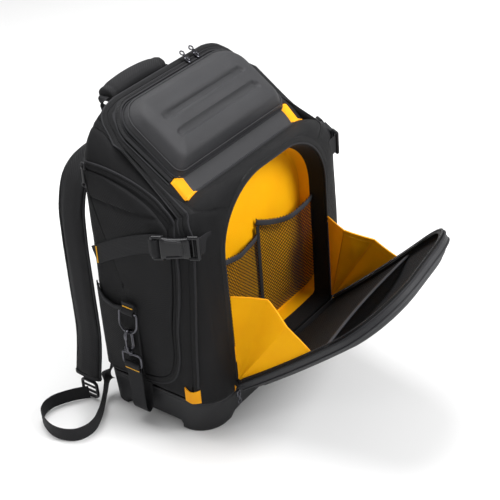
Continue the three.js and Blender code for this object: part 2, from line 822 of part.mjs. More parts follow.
function lidRing(inset, out) {
  const half = lidWidth / 2 - inset;
  const [near, far] = [inset, lidLength - inset];
  const corners = [
    { r: Math.max(lidCorner - inset * 0.6, 8), x: half, a: far, from: 0 },
    { r: Math.max(lidCorner - inset * 0.6, 8), x: -half, a: far, from: 90 },
    { r: Math.max(16 - inset * 0.2, 8), x: -half, a: near, from: 180 },
    { r: Math.max(16 - inset * 0.2, 8), x: half, a: near, from: 270 },
  ];
  const ring = [];
  for (const { r, x, a, from } of corners) {
    const cx = x - Math.sign(x) * r;
    const ca = from < 180 ? a - r : a + r;
    for (const t of steps(5, (s) => s)) {
      const angle = degrees(from + 90 * t);
      ring.push(lidPoint(cx + r * Math.cos(angle), ca + r * Math.sin(angle), out));
    }
  }
  return ring;
}

const lidRows = [
  { inset: 0, out: 0 },
  { inset: 0.06, out: 0.14 },
  { inset: 0.3, out: 0.52 },
  { inset: 0.62, out: 0.84 },
  { inset: 1, out: 0.97 },
  { inset: 1.7, out: 1 },
];

function makeLid() {
  const gap = clearance + 0.2;
  const rings = (inwards) => lidRows.map((row) => lidRing(
    row.inset * lidInset + inwards,
    gap + row.out * (lidHeight - gap) - (row.out > 0 ? inwards : 0.5 * inwards),
  ));
  const outer = solid(loft(rings(0)));
  const inner = solid(loft(rings(lidWall)));
  let lid = outer.subtract(inner);
  for (const share of [0.35, 0.585]) {
    const along = share * lidLength;
    const reach = lidWidth / 2 - lidInset - 12;
    const height = lidHeight + lidGrooveWide / 2 - lidGrooveDepth + 1;
    const path = [-reach, reach].map((x) => lidPoint(x, along, height));
    const across = path.map(() => point(0, 1, 0));
    const groove = sweep(path, across, roundSection(lidGrooveWide, lidGrooveWide, 10));
    lid = lid.subtract(solid(groove));
  }
  add('top_lid', geometryOf(lid), 'moulded');
}

// The lid's zip is a raised band on the body, round the lid's sides and back
function makeLidZip() {
  const half = lidWidth / 2 + 1.5;
  const inner = lidFrame(half, lidLength + 1.5, 0.8);
  const outer = lidFrame(half + 8, lidLength + 9.5, 4.2);
  add('lid_zip', sheetStrip(inner, outer), 'webbing');
}

function lidFrame(half, far, height) {
  const round = lidCorner + half - lidWidth / 2;
  const rows = [];
  for (const t of [0.06, 0.35, 0.64]) rows.push([-half, lerp(0, far - round, t)]);
  for (const t of steps(6, (s) => s)) {
    const a = Math.PI * (1 - t / 2);
    rows.push([-half + round + round * Math.cos(a), far - round + round * Math.sin(a)]);
  }
  const all = [...rows, ...[...rows].reverse().map(([x, a]) => [-x, a])];
  return all.map(([x, along]) => {
    const low = lidPoint(x, along, 0);
    const seat = seatZ(low.x, low.y);
    return { low: point(low.x, low.y, seat + 1.5), high: point(low.x, low.y, seat + 1.5 + height) };
  });
}

// Height of the body's skin over a place in plan
function seatZ(x, y) {
  const half = halfSection(Math.min(y, backY), 0);
  for (let i = half.length - 1; i > 0; i -= 1) {
    const [x1, z1] = half[i];
    const [x0, z0] = half[i - 1];
    const away = Math.abs(x);
    if (away >= x1 && away <= x0 && x0 > x1) return lerp(z1, z0, (away - x1) / (x0 - x1));
  }
  return half[half.length - 1][1];
}

// The room that the lid and its zip take, seen from above, carried up through the top
function lidRoom() {
  const rim = lidFrame(lidWidth / 2 + 10.5, lidLength + 11, 0).map(({ low }) => [low.x, low.y]);
  const [x, y] = [rim[0][0], frontY - 10];
  const outline = [[x, y], ...rim, [-x, y]];
  return solid(loft([300, bagHeight * 1.3].map((z) => outline.map(([px, py]) => point(px, py, z)))));
}

function sheetStrip(inner, outer) {
  const rings = inner.map((a, i) => [a.low, outer[i].low, outer[i].high, a.high]);
  return loft(rings);
}

// The smooth strip that the lid turns on, and the yellow tabs over its ends
function makeHingeStrip() {
  const half = lidWidth / 2 - 8;
  const reach = [stripFrontY + 2.5, lidFrontY - 1.5];
  const strip = (x0, x1, y0, y1, low, high) => {
    const grid = (lift) => steps(2, (v) => steps(2, (u) => {
      const [x, y] = [lerp(x0, x1, u), lerp(y0, y1, v)];
      return point(x, y - lift * 0.7, seatZ(x, y) + lift);
    }));
    return sheet(grid(high), grid(low));
  };
  add('hinge_strip', strip(-half, half, reach[0], reach[1], 1, 1 + lidStripThick), 'softFabric');
  for (const [name, sign] of [['strip_tab_left', -1], ['strip_tab_right', 1]]) {
    const [a, b] = [sign * (half + 1), sign * (half + 15)];
    add(name, strip(Math.min(a, b), Math.max(a, b), reach[0], reach[1], 1, 3.4), 'yellow');
  }
}

// The sides. The padded panel, its zip, the open pocket, the compression strap and its buckle.

const zipLine = [
  { depth: 0.963, height: 0.866 },
  { depth: 0.806, height: 0.862 },
  { depth: 0.653, height: 0.845 },
  { depth: 0.505, height: 0.819 },
  { depth: 0.347, height: 0.779 },
  { depth: 0.236, height: 0.729 },
  { depth: 0.2, height: 0.67 },
  { depth: 0.197, height: 0.61 },
  { depth: 0.213, height: 0.504 },
  { depth: 0.25, height: 0.392 },
  { depth: 0.269, height: 0.275 },
  { depth: 0.324, height: 0.212 },
  { depth: 0.42, height: 0.18 },
  { depth: 0.6, height: 0.164 },
  { depth: 0.963, height: 0.16 },
];
const zipPath = zipLine.map((row) => [frontY + row.depth * bagDepth, row.height * bagHeight]);

function splitSides(body, names, finish) {
  for (const [name, x0, x1] of [[names[0], -bagWidth, 0], [names[1], 0, bagWidth]]) {
    add(name, geometryOf(body.intersect(solid(box(x0, x1, -bagDepth, bagDepth, 0, bagHeight)))), finish);
  }
}

function makeSides() {
  const panelZip = solid(knife(stripOutline(zipPath, sideZipHalf), -bagWidth, bagWidth));
  const zipSkin = skinLayer(clearance + 0.1, clearance + 0.1 + sideZipThick);
  splitSides(zipSkin.intersect(panelZip), ['side_zip_left', 'side_zip_right'], 'webbing');
  const room = solid(knife(stripOutline(zipPath, sideZipHalf + clearance), -bagWidth, bagWidth));
  const inside = solid(knife(zipPath, -bagWidth, bagWidth));
  const panelSkin = skinLayer(clearance + 0.1, clearance + 0.1 + sidePadThick);
  splitSides(panelSkin.intersect(inside.subtract(room)), ['side_panel_left', 'side_panel_right'], 'fabric');

  for (const [side, sign] of [['left', -1], ['right', 1]]) {
    makeSidePocket(`side_pocket_${side}`, sign);
    makeStrap(side, sign);
  }
}

const panelFace = clearance + 0.1 + sidePadThick;

// The open pocket: sewn at its foot and ends, and standing off at its mouth
const mouthRows = [
  { across: 0, rise: 0.03, stand: 0 },
  { across: 0.25, rise: 0, stand: 0.75 },
  { across: 0.5, rise: 0, stand: 1 },
  { across: 0.78, rise: 0.03, stand: 0.8 },
  { across: 1, rise: 0.12, stand: 0 },
];

function pocketPoint(sign, u, v, thick) {
  const y = lerp(frontY + 0.575 * bagDepth, backY - 15, u);
  const foot = zipPath[zipPath.length - 1][1] + 6;
  const mouth = sidePocketMouth * (1 + tableValue(mouthRows, 'across', 'rise', u));
  const z = lerp(foot, mouth, v);
  const fullness = Math.sin((Math.PI / 2) * clamp(v * 1.6, 0, 1));
  const stand = sidePocketBulge * tableValue(mouthRows, 'across', 'stand', u) * fullness;
  return point(sign * (skinX(y, z) + panelFace + 1 + stand + thick), y, z);
}

function makeSidePocket(name, sign) {
  const grid = (thick) => steps(5, (v) => steps(8, (u) => pocketPoint(sign, u, v, thick)));
  add(name, sheet(grid(sidePocketCloth), grid(0)), 'fabric');
}

// The strap lies on the panel. Its across direction follows the side's lean.
function strapRoute(sign, rows, off) {
  const path = rows.map(([y, z, extra = 0]) => point(sign * (skinX(y, z) + off + extra), y, z));
  const across = rows.map(([y, z]) => {
    const rise = strapWide / 2;
    return point(sign * (skinX(y, z + rise) - skinX(y, z - rise)), 0, 2 * rise).normalize();
  });
  return { path, across };
}

// The buckle is turned to lie along the bag's front corner, and its strap rises to meet its back slot
function makeStrap(side, sign) {
  const off = panelFace + 1 + strapThick / 2;
  const turn = degrees(buckleTurn);
  const middle = cornerY - 12;
  const slotReach = buckleLength / 2 - 6;
  const slotAway = slotReach * Math.sin(turn);
  const slotStep = slotReach * Math.cos(turn);
  const buckleX = skinX(middle, strapHeight) + 4.7 + buckleThick / 2 / Math.cos(turn);
  const backEnd = backY - backRounding + 6;
  const slotY = middle + slotStep;
  const innerFace = buckleX - buckleThick / 2 / Math.cos(turn);
  const climb = innerFace + slotAway - strapThick - 5.2 - skinX(slotY, strapHeight) - off;
  const rows = steps(8, (t) => {
    const y = lerp(backEnd, slotY - 2, t);
    return [y, strapHeight - strapDrop * (1 - t) ** 1.4, climb * t ** 5];
  });
  const main = strapRoute(sign, rows, off);
  add(`side_strap_${side}`, sweep(main.path, main.across, flatSection(strapWide, strapThick)), 'webbing');

  const body = new THREE.BoxGeometry(buckleThick, buckleLength, buckleWide, 1, 4, 1);
  const place = body.attributes.position;
  for (let i = 0; i < place.count; i += 1) {
    const waist = Math.abs(place.getY(i)) < buckleLength * 0.3 ? 0.86 : 1;
    place.setZ(i, place.getZ(i) * waist);
  }
  let buckle = solid(body);
  const slot = strapWide / 2 + 1;
  for (const end of [-1, 1]) {
    const y = end * slotReach;
    buckle = buckle.subtract(solid(box(-buckleThick, buckleThick, y - 2.6, y + 2.6, -slot, slot)));
  }
  for (const edge of [-1, 1]) {
    const z = edge * buckleWide * 0.34;
    const x = sign > 0 ? 1 : -1 - buckleThick;
    buckle = buckle.subtract(solid(box(x, x + buckleThick, -12, 16, z - 1.2, z + 1.2)));
  }
  const geometry = geometryOf(buckle);
  geometry.rotateZ(-sign * turn);
  geometry.translate(sign * buckleX, middle, strapHeight);
  add(`buckle_${side}`, geometry, 'plastic');

  const leadY = middle - slotStep + 3;
  const leadX = innerFace - slotAway - strapThick - 1.2;
  const endY = frontY + 3;
  const endX = skinX(endY, strapHeight) + 3.6 + strapThick / 2;
  const path = steps(4, (t) => point(
    sign * (lerp(leadX, endX, t) + 3 * Math.sin(Math.PI * t)), lerp(leadY, endY, t), strapHeight,
  ));
  const across = path.map(() => point(0, 0, 1));
  add(`buckle_strap_${side}`, sweep(path, across, flatSection(strapWide, strapThick)), 'webbing');
}

// The ring at the side pocket's mouth, the snap hook that hangs in it, and the strap on the hook

const pocketFace = skinX(hookY, ringTop) + panelFace + 1 + hookStand * sidePocketBulge + sidePocketCloth;
const tabX = -(pocketFace + 1.6);
const ringX = tabX - 3;
const ringFoot = ringTop - 34;
const hookRound = 7;
const hookX = ringX - 5;
const hookTopZ = ringFoot + ringWire / 2 + clearance + hookWire / 2 - hookRound;
const gateFoot = hookTopZ - 20;
const gateTip = hookTopZ - 5;
const eyeTop = gateFoot - hookRound - 10;
const eyeFoot = eyeTop - 20;

function makeHook() {
  const tabRows = [
    [tabX + 0.9, ringTop + 16], [tabX + 0.7, ringTop + 4], [ringX + 2.9, ringTop],
    [ringX + 2, ringTop - 2.1], [ringX, ringTop - 2.9], [ringX - 2, ringTop - 2.1],
    [ringX - 2.9, ringTop], [ringX - 2.2, ringTop + 3], [tabX - 1.1, ringTop + 7], [tabX - 1, ringTop + 16],
  ];
  const tabPath = tabRows.map(([x, z]) => point(x, hookY, z));
  const along = tabPath.map(() => point(0, 1, 0));
  add('ring_tab', sweep(tabPath, along, flatSection(24, 1.4)), 'webbing');

  const half = ringWide / 2 - ringWire / 2;
  const tilt = (y, drop) => point(lerp(ringX, hookX, drop / (ringTop - ringFoot)), hookY + y, ringTop - drop);
  const bow = steps(8, (t) => {
    const a = Math.PI * t;
    return tilt(half * Math.cos(a), ringTop - ringFoot - half + half * Math.sin(a));
  });
  const bar = [tilt(-half + 2, 0), tilt(0, 0), tilt(half - 2, 0)];
  const ringPath = [...bar, tilt(half, 2.5), ...bow, tilt(-half, 2.5)];
  const wire = roundSection(ringWire, ringWire, 6);
  const outward = ringPath.map(() => point(-1, 0, -0.15));
  add('d_ring', sweep(ringPath, outward, wire, true), 'steel');

  const arc = (cz, from, to, count) => steps(count, (t) => {
    const a = degrees(lerp(from, to, t));
    return point(hookX + hookRound * Math.cos(a), hookY, cz + hookRound * Math.sin(a));
  });
  const hookPath = [
    point(hookX - hookRound, hookY, gateTip + 0.5),
    ...arc(hookTopZ, 180, 0, 5), ...arc(gateFoot - 3, 0, -180, 5),
    point(hookX - hookRound, hookY, gateFoot - 1),
  ];
  const hookWireRing = roundSection(hookWire + 1.4, hookWire, 6);
  let hook = solid(sweep(hookPath, hookPath.map(() => point(0, 1, 0)), hookWireRing));
  const barrel = new THREE.CylinderGeometry(3.6, 3.6, gateFoot - 3 - hookRound - eyeTop, 10);
  barrel.rotateX(Math.PI / 2);
  barrel.translate(hookX, hookY, (gateFoot - 3 - hookRound + eyeTop) / 2);
  const eyeHalf = hookStrapWide / 2 + 1 + hookWire / 2;
  const eyePath = [
    [-eyeHalf + 4, eyeTop], [0, eyeTop], [eyeHalf - 4, eyeTop],
    [eyeHalf - 1, eyeTop - 1.2], [eyeHalf, eyeTop - 4],
    [eyeHalf, eyeFoot + 3], [eyeHalf - 1, eyeFoot + 0.9], [eyeHalf - 3, eyeFoot],
    [-eyeHalf + 3, eyeFoot], [-eyeHalf + 1, eyeFoot + 0.9], [-eyeHalf, eyeFoot + 3],
    [-eyeHalf, eyeTop - 4], [-eyeHalf + 1, eyeTop - 1.2],
  ].map(([y, z]) => point(hookX, hookY + y, z));
  const eye = sweep(eyePath, eyePath.map(() => point(1, 0, 0)), roundSection(hookWire, hookWire, 6), true);
  hook = hook.add(solid(barrel)).add(solid(eye));
  const forkX = hookX - hookRound;
  const fork = box(forkX - 2.6, forkX + 2.6, hookY - 3.6, hookY + 3.6, gateFoot - 5, gateFoot + 2);
  hook = hook.add(solid(fork));
  const roomHalf = gateWide / 2 + 0.5;
  const room = box(forkX - 6, forkX + 6, hookY - roomHalf, hookY + roomHalf, gateFoot - 3.2, gateFoot + 9);
  hook = hook.subtract(solid(room));
  add('snap_hook', geometryOf(hook), 'blackMetal');

  const gateShape = new THREE.Shape();
  const tipHalf = 1.6;
  const heel = 2.4;
  gateShape.absarc(0, 0, heel, Math.PI, 2 * Math.PI, false);
  gateShape.lineTo(tipHalf, 3);
  gateShape.lineTo(tipHalf, gateTip - gateFoot);
  gateShape.lineTo(-tipHalf, gateTip - gateFoot);
  gateShape.lineTo(-tipHalf, 3);
  const gateOptions = { depth: gateWide, bevelEnabled: false, curveSegments: 8 };
  const gate = new THREE.ExtrudeGeometry(gateShape, gateOptions);
  gate.translate(0, 0, -gateWide / 2);
  gate.rotateX(Math.PI / 2);
  gate.translate(forkX, hookY, gateFoot);
  add('hook_gate', gate, 'steel');

  const wrap = hookWire / 2 + clearance + strapThick / 2;
  const loop = steps(6, (t) => {
    const a = Math.PI * (1 - t);
    return point(hookX + wrap * Math.cos(a), hookY, eyeFoot + wrap * Math.sin(a));
  });
  const anchorX = -(bagWidth / 2 + clearance + 0.9);
  const strapRows = [
    [hookX - 1.2, eyeFoot - 12], [hookX - wrap + 0.6, eyeFoot - 4],
  ];
  const innerRows = [
    [hookX + 1.3, eyeFoot - 7], [hookX + 1.3, eyeFoot - 14], [hookX + 0.6, hookStrapFoot + 26],
    [hookX + 2.5, hookStrapFoot + 7], [hookX + 8, hookStrapFoot], [anchorX - 4.4, hookStrapFoot + 8],
    [anchorX - 1.2, hookStrapFoot + 26], [anchorX - 0.4, bootHeight - 2], [anchorX, bootHeight + 8],
  ];
  const at = ([x, z]) => point(x, hookY, z);
  const strapPath = [...strapRows.map(at), ...loop, ...innerRows.map(at)];
  const strapAcross = strapPath.map(() => point(0, 1, 0));
  add('hook_strap', sweep(strapPath, strapAcross, flatSection(hookStrapWide, strapThick)), 'webbing');
}

// The harness on the back: two padded panels, the yoke, and the shoulder straps with their locks

const panelY = backY + clearance;

function roundedPad(x0, x1, z0, z1, thick, round) {
  const ring = (y, inset) => {
    const corners = [[x1, z1, 0], [x0, z1, 90], [x0, z0, 180], [x1, z0, 270]];
    return corners.flatMap(([x, z, from]) => steps(4, (t) => {
      const a = degrees(from + 90 * t);
      const cx = x - Math.sign(x - (x0 + x1) / 2) * round;
      const cz = z - Math.sign(z - (z0 + z1) / 2) * round;
      return point(cx + (round - inset) * Math.cos(a), y, cz + (round - inset) * Math.sin(a));
    }));
  };
  const rows = [[0, 1], [0.5, 0], [0.88, 2.5], [1, 8]];
  return loft(rows.map(([share, inset]) => ring(panelY + thick * share, inset)));
}

const yokeHalf = 0.55 * (bagWidth / 2);
const yokeFoot = 0.86 * bagHeight;
const yokeTop = bagHeight - backRounding - 8;

function makeBackPads() {
  const gap = 11;
  for (const [side, sign] of [['left', -1], ['right', 1]]) {
    const [a, b] = [sign * gap, sign * (gap + backPadWide)];
    const pad = roundedPad(Math.min(a, b), Math.max(a, b), bootHeight + 34, yokeFoot - 32, backPadThick, 22);
    add(`back_pad_${side}`, pad, 'softFabric');
  }
  const yoke = roundedPad(-yokeHalf, yokeHalf, yokeFoot, yokeTop, 5, 10);
  add('strap_yoke', yoke, 'fabric');
}

const padSection = roundSection(padWide, padThick, 12, 0.6);
const yokeFace = panelY + 5;

// Each shoulder strap leaves the yoke flat on the back and turns to hang on its edge. A row gives the
// place across as a share of half the bag's width, then the depth and the height. The left strap swings
// forward beside the bag.
const hangY = backY + 30;
const hangForward = 12;
const padFoot = bootHeight - 20;

function makeShoulderPads() {
  const flat = yokeFace + clearance + padThick / 2;
  const leftRows = [
    { at: [-0.29, flat, yokeTop - 34], across: [0.35, 0, -0.94] },
    { at: [-0.414, flat + 7, yokeTop - 40], across: [0.3, 0.25, -0.9] },
    { at: [-0.56, hangY + 3, yokeFoot - 6], across: [0.15, 0.8, -0.55] },
    { at: [-0.694, hangY + 1, 0.8207 * bagHeight], across: [0, 1, -0.1] },
    { at: [-0.845, hangY, 0.783 * bagHeight], across: [0, 1, 0] },
    { at: [-0.943, hangY - 0.1 * hangForward, 0.701 * bagHeight], across: [0, 1, 0] },
    { at: [-1.005, hangY - 0.7 * hangForward, 0.61 * bagHeight], across: [0, 1, 0] },
    { at: [-1.036, hangY - hangForward, 0.434 * bagHeight], across: [0, 1, 0] },
    { at: [-1.036, hangY - 0.7 * hangForward, 0.243 * bagHeight], across: [0, 1, 0] },
    { at: [-1.0725, hangY, padFoot], across: [0, 1, 0] },
  ];
  const over = panelY + backPadThick + clearance + padThick / 2 + 1;
  const rightRows = [
    { at: [0.363, flat, yokeTop - 28], across: [1, 0, 0] },
    { at: [0.378, flat + 7, yokeFoot - 14], across: [1, 0, 0] },
    { at: [0.4145, over + 4, 0.757 * bagHeight], across: [1, 0, 0.1] },
    { at: [0.4767, over + 7, 0.5976 * bagHeight], across: [1, 0, 0.1] },
    { at: [0.539, over + 4, 0.4183 * bagHeight], across: [1, 0, 0.1] },
    { at: [0.58, over, 0.279 * bagHeight], across: [1, 0, 0] },
  ];
  for (const [name, rows] of [['shoulder_pad_left', leftRows], ['shoulder_pad_right', rightRows]]) {
    const path = rows.map(({ at: [out, y, z] }) => point((out * bagWidth) / 2, y, z));
    add(name, sweep(path, rows.map(({ across }) => point(...across)), padSection), 'softFabric');
  }
}

// A ladder lock: a plastic frame with two slots, and a tail that the thumb lifts
function ladderLock(middle, turn) {
  const [wide, tall, thick] = [webWide + 10, 34, 5];
  let frame = solid(new THREE.BoxGeometry(wide, thick, tall));
  for (const z of [tall / 2 - 6.5, -1.5]) {
    frame = frame.subtract(solid(box(-webWide / 2 - 1, webWide / 2 + 1, -thick, thick, z - 2.6, z + 2.6)));
  }
  const geometry = geometryOf(frame);
  geometry.rotateZ(turn);
  geometry.translate(...middle);
  return geometry;
}

function makeLowerWebs() {
  const lockX = -(1.0725 * bagWidth) / 2 - 1.5;
  add('ladder_lock_left', ladderLock([lockX, hangY, padFoot - 26], Math.PI / 2), 'plastic');
  const onFloor = webWide / 2 + 0.9 - padFoot;
  const loopRows = [
    [-4.5, 30, -32], [-17, 43, onFloor], [-35, 56, onFloor], [-54, 65, onFloor], [-72, 65, onFloor],
    [-88, 56, onFloor], [-100, 36, onFloor], [-106, 14, onFloor], [-104, -6, onFloor], [-94, -24, onFloor],
    [-78, -32, onFloor], [-60, -32, onFloor], [-40, -24, onFloor], [-22, -14, onFloor], [-4, -2, -32],
    [10, 6, -26], [21, 10, -14], [31, 7, 2], [38, 3.5, 20], [40, 1.8, 36],
  ];
  const loopPath = curve(loopRows.map(([x, y, z]) => point(lockX + 0.6 + x, backY + y, padFoot + z)), 32);
  const up = loopPath.map((p) => (p.z < 40 ? point(0, 0, 1) : point(0.75, 0, 0.66)));
  add('lower_web_left', sweep(loopPath, up, flatSection(webWide, webThick)), 'webbing');

  const rightY = panelY + backPadThick + padThick / 2 + 2;
  const rightX = 0.5907 * (bagWidth / 2);
  const rightZ = 0.279 * bagHeight - 20;
  add('ladder_lock_right', ladderLock([rightX, rightY, rightZ], 0), 'plastic');
  const rightRows = [
    [2, rightY - 4.3, -4], [10, rightY - 8, -16], [26, rightY - 12, -28], [40, backY + 4, -34],
    [52, backY + 2, -34],
  ];
  const rightPath = rightRows.map(([x, y, z]) => point(rightX + x, y, rightZ + z));
  const rightAcross = rightPath.map((_, i) => (i < 2 ? point(0.85, 0, 0.5) : point(0.5, 0, 0.86)));
  add('lower_web_right', sweep(rightPath, rightAcross, flatSection(webWide, webThick)), 'webbing');
}

// The haul grip over the yoke, on two webs. The left web passes a steel ring.
const gripMiddle = -22;
const gripY = backY + 22;
const haulRingY = yokeFace + 4.5;
const haulRingTop = bagHeight - 23;
const gripZ = bagHeight - 10;

function makeGrip() {
  const half = gripLength / 2;
  const gripPath = steps(6, (t) => (
    point(gripMiddle + lerp(-half, half, t), gripY, gripZ + 6 * Math.sin(Math.PI * t))
  ));
  const section = roundSection(gripThick, gripThick * 0.8, 12);
  add('haul_grip', sweep(gripPath, gripPath.map(() => point(0, 1, 0)), section), 'softFabric');
  for (const [side, sign] of [['left', -1], ['right', 1]]) {
    const x = gripMiddle + sign * (half + clearance);
    const rows = [
      [x, gripY, gripZ], [x + sign * 4, gripY, gripZ - 0.4], [x + sign * 9, gripY - 3, gripZ - 7],
      [x + sign * 11, gripY - 9, gripZ - 18], [x + sign * 10, yokeFace + 4, gripZ - 27],
      [x + sign * 9, yokeFace + 1.3, gripZ - 36],
    ];
    const atRing = [[x - 10, haulRingY + 4, haulRingTop + 1], [x - 10, haulRingY + 3.4, haulRingTop - 4]];
    if (sign < 0) rows.splice(3, 3, ...atRing);
    const path = rows.map((row) => point(...row));
    const across = rows.map((_, i) => (i < 3 ? point(0, 1, 0) : point(1, 0, 0)));
    add(`haul_web_${side}`, sweep(path, across, flatSection(18, webThick)), 'webbing');
  }
  makeHaulRing(gripMiddle - half - clearance - 10);
}

// A rectangular steel ring joins the left web to a folded tab on the yoke
function makeHaulRing(x) {
  const [half, foot] = [12, haulRingTop - 12];
  const corners = [[-half, foot + 2], [-half + 2, foot], [half - 2, foot], [half, foot + 2],
    [half, haulRingTop - 2], [half - 2, haulRingTop], [-half + 2, haulRingTop], [-half, haulRingTop - 2]];
  const path = corners.map(([dx, z]) => point(x + dx, haulRingY, z));
  add('haul_ring', sweep(path, path.map(() => point(0, 1, 0)), roundSection(3, 3, 6), true), 'steel');
  const rows = [
    [yokeFace + 1, foot - 16], [yokeFace + 1, foot - 4], [haulRingY - 2.9, foot], [haulRingY, foot + 2.9],
    [haulRingY + 2.9, foot], [yokeFace + 3.4, foot - 6], [yokeFace + 3.2, foot - 14],
  ];
  const tab = rows.map(([y, z]) => point(x, y, z));
  add('haul_tab', sweep(tab, tab.map(() => point(1, 0, 0)), flatSection(16, 1.4)), 'webbing');
}

// A zip slider with its pull: a block on the zip, a tongue, and a ring at the tongue's end. In its own
// axes the zip runs along Y, the pull lies towards -Y and out is +Z.
function zipPull(length) {
  const slider = solid(new THREE.BoxGeometry(9, 12, 5));
  const tongue = solid(box(-2.2, 2.2, -length + 3, -3, 0.2, 2.2));
  const ring = new THREE.CylinderGeometry(5, 5, 2.4, 12);
  ring.rotateX(Math.PI / 2);
  ring.translate(0, -length, 1.2);
  const hole = new THREE.CylinderGeometry(2.4, 2.4, 8, 10);
  hole.rotateX(Math.PI / 2);
  hole.translate(0, -length, 1.2);
  return geometryOf(slider.add(tongue).add(solid(ring)).subtract(solid(hole)));
}

function makePulls() {
  const front = zipPull(15);
  front.rotateX(Math.PI / 2);
  front.translate(-rimWidth / 2 + 0.5, frontY - 0.8 - 2.5, rimFoot - 15.4);
  add('front_pull', front, 'steel');

  const back = lidFrame(lidWidth / 2 + 5.5, lidLength + 5.5, 4.2);
  const seat = back[Math.round(back.length / 2)].high;
  for (const [name, x] of [['lid_pull_left', 50], ['lid_pull_right', 72]]) {
    const pull = zipPull(14);
    pull.rotateX(-degrees(38));
    pull.rotateZ(Math.PI);
    pull.translate(x, seat.y, seat.z + 2.9);
    add(name, pull, 'steel');
  }

  const [y, z] = zipPath[0];
  for (const [name, sign] of [['side_pull_left', -1], ['side_pull_right', 1]]) {
    const length = 30;
    const pull = zipPull(length);
    const lean = Math.atan2(skinX(y - 8, z - length) - skinX(y - 8, z), length);
    pull.rotateX(Math.PI / 2 - lean);
    pull.rotateZ((-sign * Math.PI) / 2 + Math.PI);
    pull.translate(sign * (skinX(y - 8, z) + clearance + sideZipThick + 5.4), y - 8, z);
    add(name, pull, 'plastic');
  }
}

makeBoot();
makeBody();
makeMainZip();
makeCup();
makeMeshPockets();
makeDoor();
makeRimZip();
makeGussets();
makeLid();
makeLidZip();
makeHingeStrip();
makeSides();
makeHook();
makeBackPads();
makeShoulderPads();
makeLowerWebs();
makeGrip();
makePulls();

export default part;
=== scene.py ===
# %% [markdown]
# # A tool backpack
# A tool backpack stands on a moulded boot. Its front door hangs open on two folding gussets and shows
# the yellow lining. This lesson dresses the plain solids of the frame with cloth, zips, straps and
# hardware. Sizes are in millimetres here and become metres when a mesh is made.

import bmesh
import bpy
import numpy as np
from mathutils import Matrix, Vector


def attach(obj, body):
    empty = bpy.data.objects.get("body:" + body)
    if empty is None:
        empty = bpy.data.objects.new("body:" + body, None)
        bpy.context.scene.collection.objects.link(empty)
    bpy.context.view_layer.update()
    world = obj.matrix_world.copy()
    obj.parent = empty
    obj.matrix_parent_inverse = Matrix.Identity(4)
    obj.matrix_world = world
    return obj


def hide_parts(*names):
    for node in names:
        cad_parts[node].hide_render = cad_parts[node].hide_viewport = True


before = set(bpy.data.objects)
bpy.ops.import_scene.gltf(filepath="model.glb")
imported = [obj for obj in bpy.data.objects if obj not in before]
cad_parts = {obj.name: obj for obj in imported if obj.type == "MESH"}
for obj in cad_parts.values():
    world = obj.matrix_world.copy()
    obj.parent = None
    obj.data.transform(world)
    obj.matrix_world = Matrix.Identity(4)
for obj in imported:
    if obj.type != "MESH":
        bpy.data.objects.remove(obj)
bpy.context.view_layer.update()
MM = 0.001

# %% [markdown]
# ## Camera, light and floor
# The camera comes first. It looks down on the bag's front left corner from about two metres away, with
# a small roll, as the photograph does. Three wide soft lights and a pale floor make a studio.

# %% camera
target = np.array([0.011, -0.052, 0.221])
azimuth, elevation, roll = np.radians([-51.0, 32.5, -5.0])
distance = 2.0
lens_mm, sensor_mm = 91.15, 36.0


def camera_axes():
    """The camera's right, up and back directions. Back points from the target to the camera."""
    back = np.array([
        np.sin(azimuth) * np.cos(elevation), -np.cos(azimuth) * np.cos(elevation), np.sin(elevation),
    ])
    right = np.array([np.cos(azimuth), np.sin(azimuth), 0.0])
    up = np.cross(back, right)
    turned = np.cos(roll) * right + np.sin(roll) * up
    return turned, -np.sin(roll) * right + np.cos(roll) * up, back


axes = camera_axes()
pose = np.eye(4)
pose[:3, :3] = np.array(axes).T
pose[:3, 3] = target + axes[2] * distance
camera = bpy.data.objects.new("camera", bpy.data.cameras.new("camera"))
camera.data.lens = lens_mm
camera.data.sensor_width = sensor_mm
camera.matrix_world = Matrix(pose.tolist())
bpy.context.scene.collection.objects.link(camera)
bpy.context.scene.camera = camera
print(f"camera at {np.round(pose[:3, 3], 3).tolist()}")

# %% [markdown]
# One wide light hangs over the back of the lid, one stands in front and reaches into the open
# compartment, and a faint one lifts the left side. The world adds an even white.

# %% lights
lights = [
    ("top_light", (0.2, 0.6, 2.4), 1.8, 66.0),
    ("front_light", (0.7, -2.0, 2.0), 1.1, 82.0),
    ("left_light", (-2.1, 0.9, 1.4), 0.8, 8.0),
]
for name, where, size, power in lights:
    lamp = bpy.data.lights.new(name, "AREA")
    lamp.shape, lamp.size, lamp.energy = "DISK", size, power
    holder = bpy.data.objects.new(name, lamp)
    holder.location = where
    holder.rotation_mode = "QUATERNION"
    holder.rotation_quaternion = Vector(where - target).to_track_quat("Z", "Y")
    bpy.context.scene.collection.objects.link(holder)

world = bpy.data.worlds.new("studio")
world.use_nodes = True
world.node_tree.nodes["Background"].inputs["Color"].default_value = (1.0, 1.0, 1.0, 1.0)
world.node_tree.nodes["Background"].inputs["Strength"].default_value = 0.4
bpy.context.scene.world = world
bpy.context.scene.view_settings.view_transform = "Standard"
print(f"{len(lights)} lights")

# %% [markdown]
# ## Surfaces from arrays
# Every soft piece is a grid of points that one formula fills at once. These few functions join grids
# into closed meshes, sweep a section along a path, and repeat a small shape along a path. The corners
# of each grid also get their place on the flat cloth, so that a weave follows it.

# %% grids
def grid_faces(rows, cols):
    """The four corners of every cell of a grid of rows times cols points."""
    index = np.arange(rows * cols).reshape(rows, cols)
    return np.stack([index[:-1, :-1], index[:-1, 1:], index[1:, 1:], index[1:, :-1]], axis=-1).reshape(-1, 4)


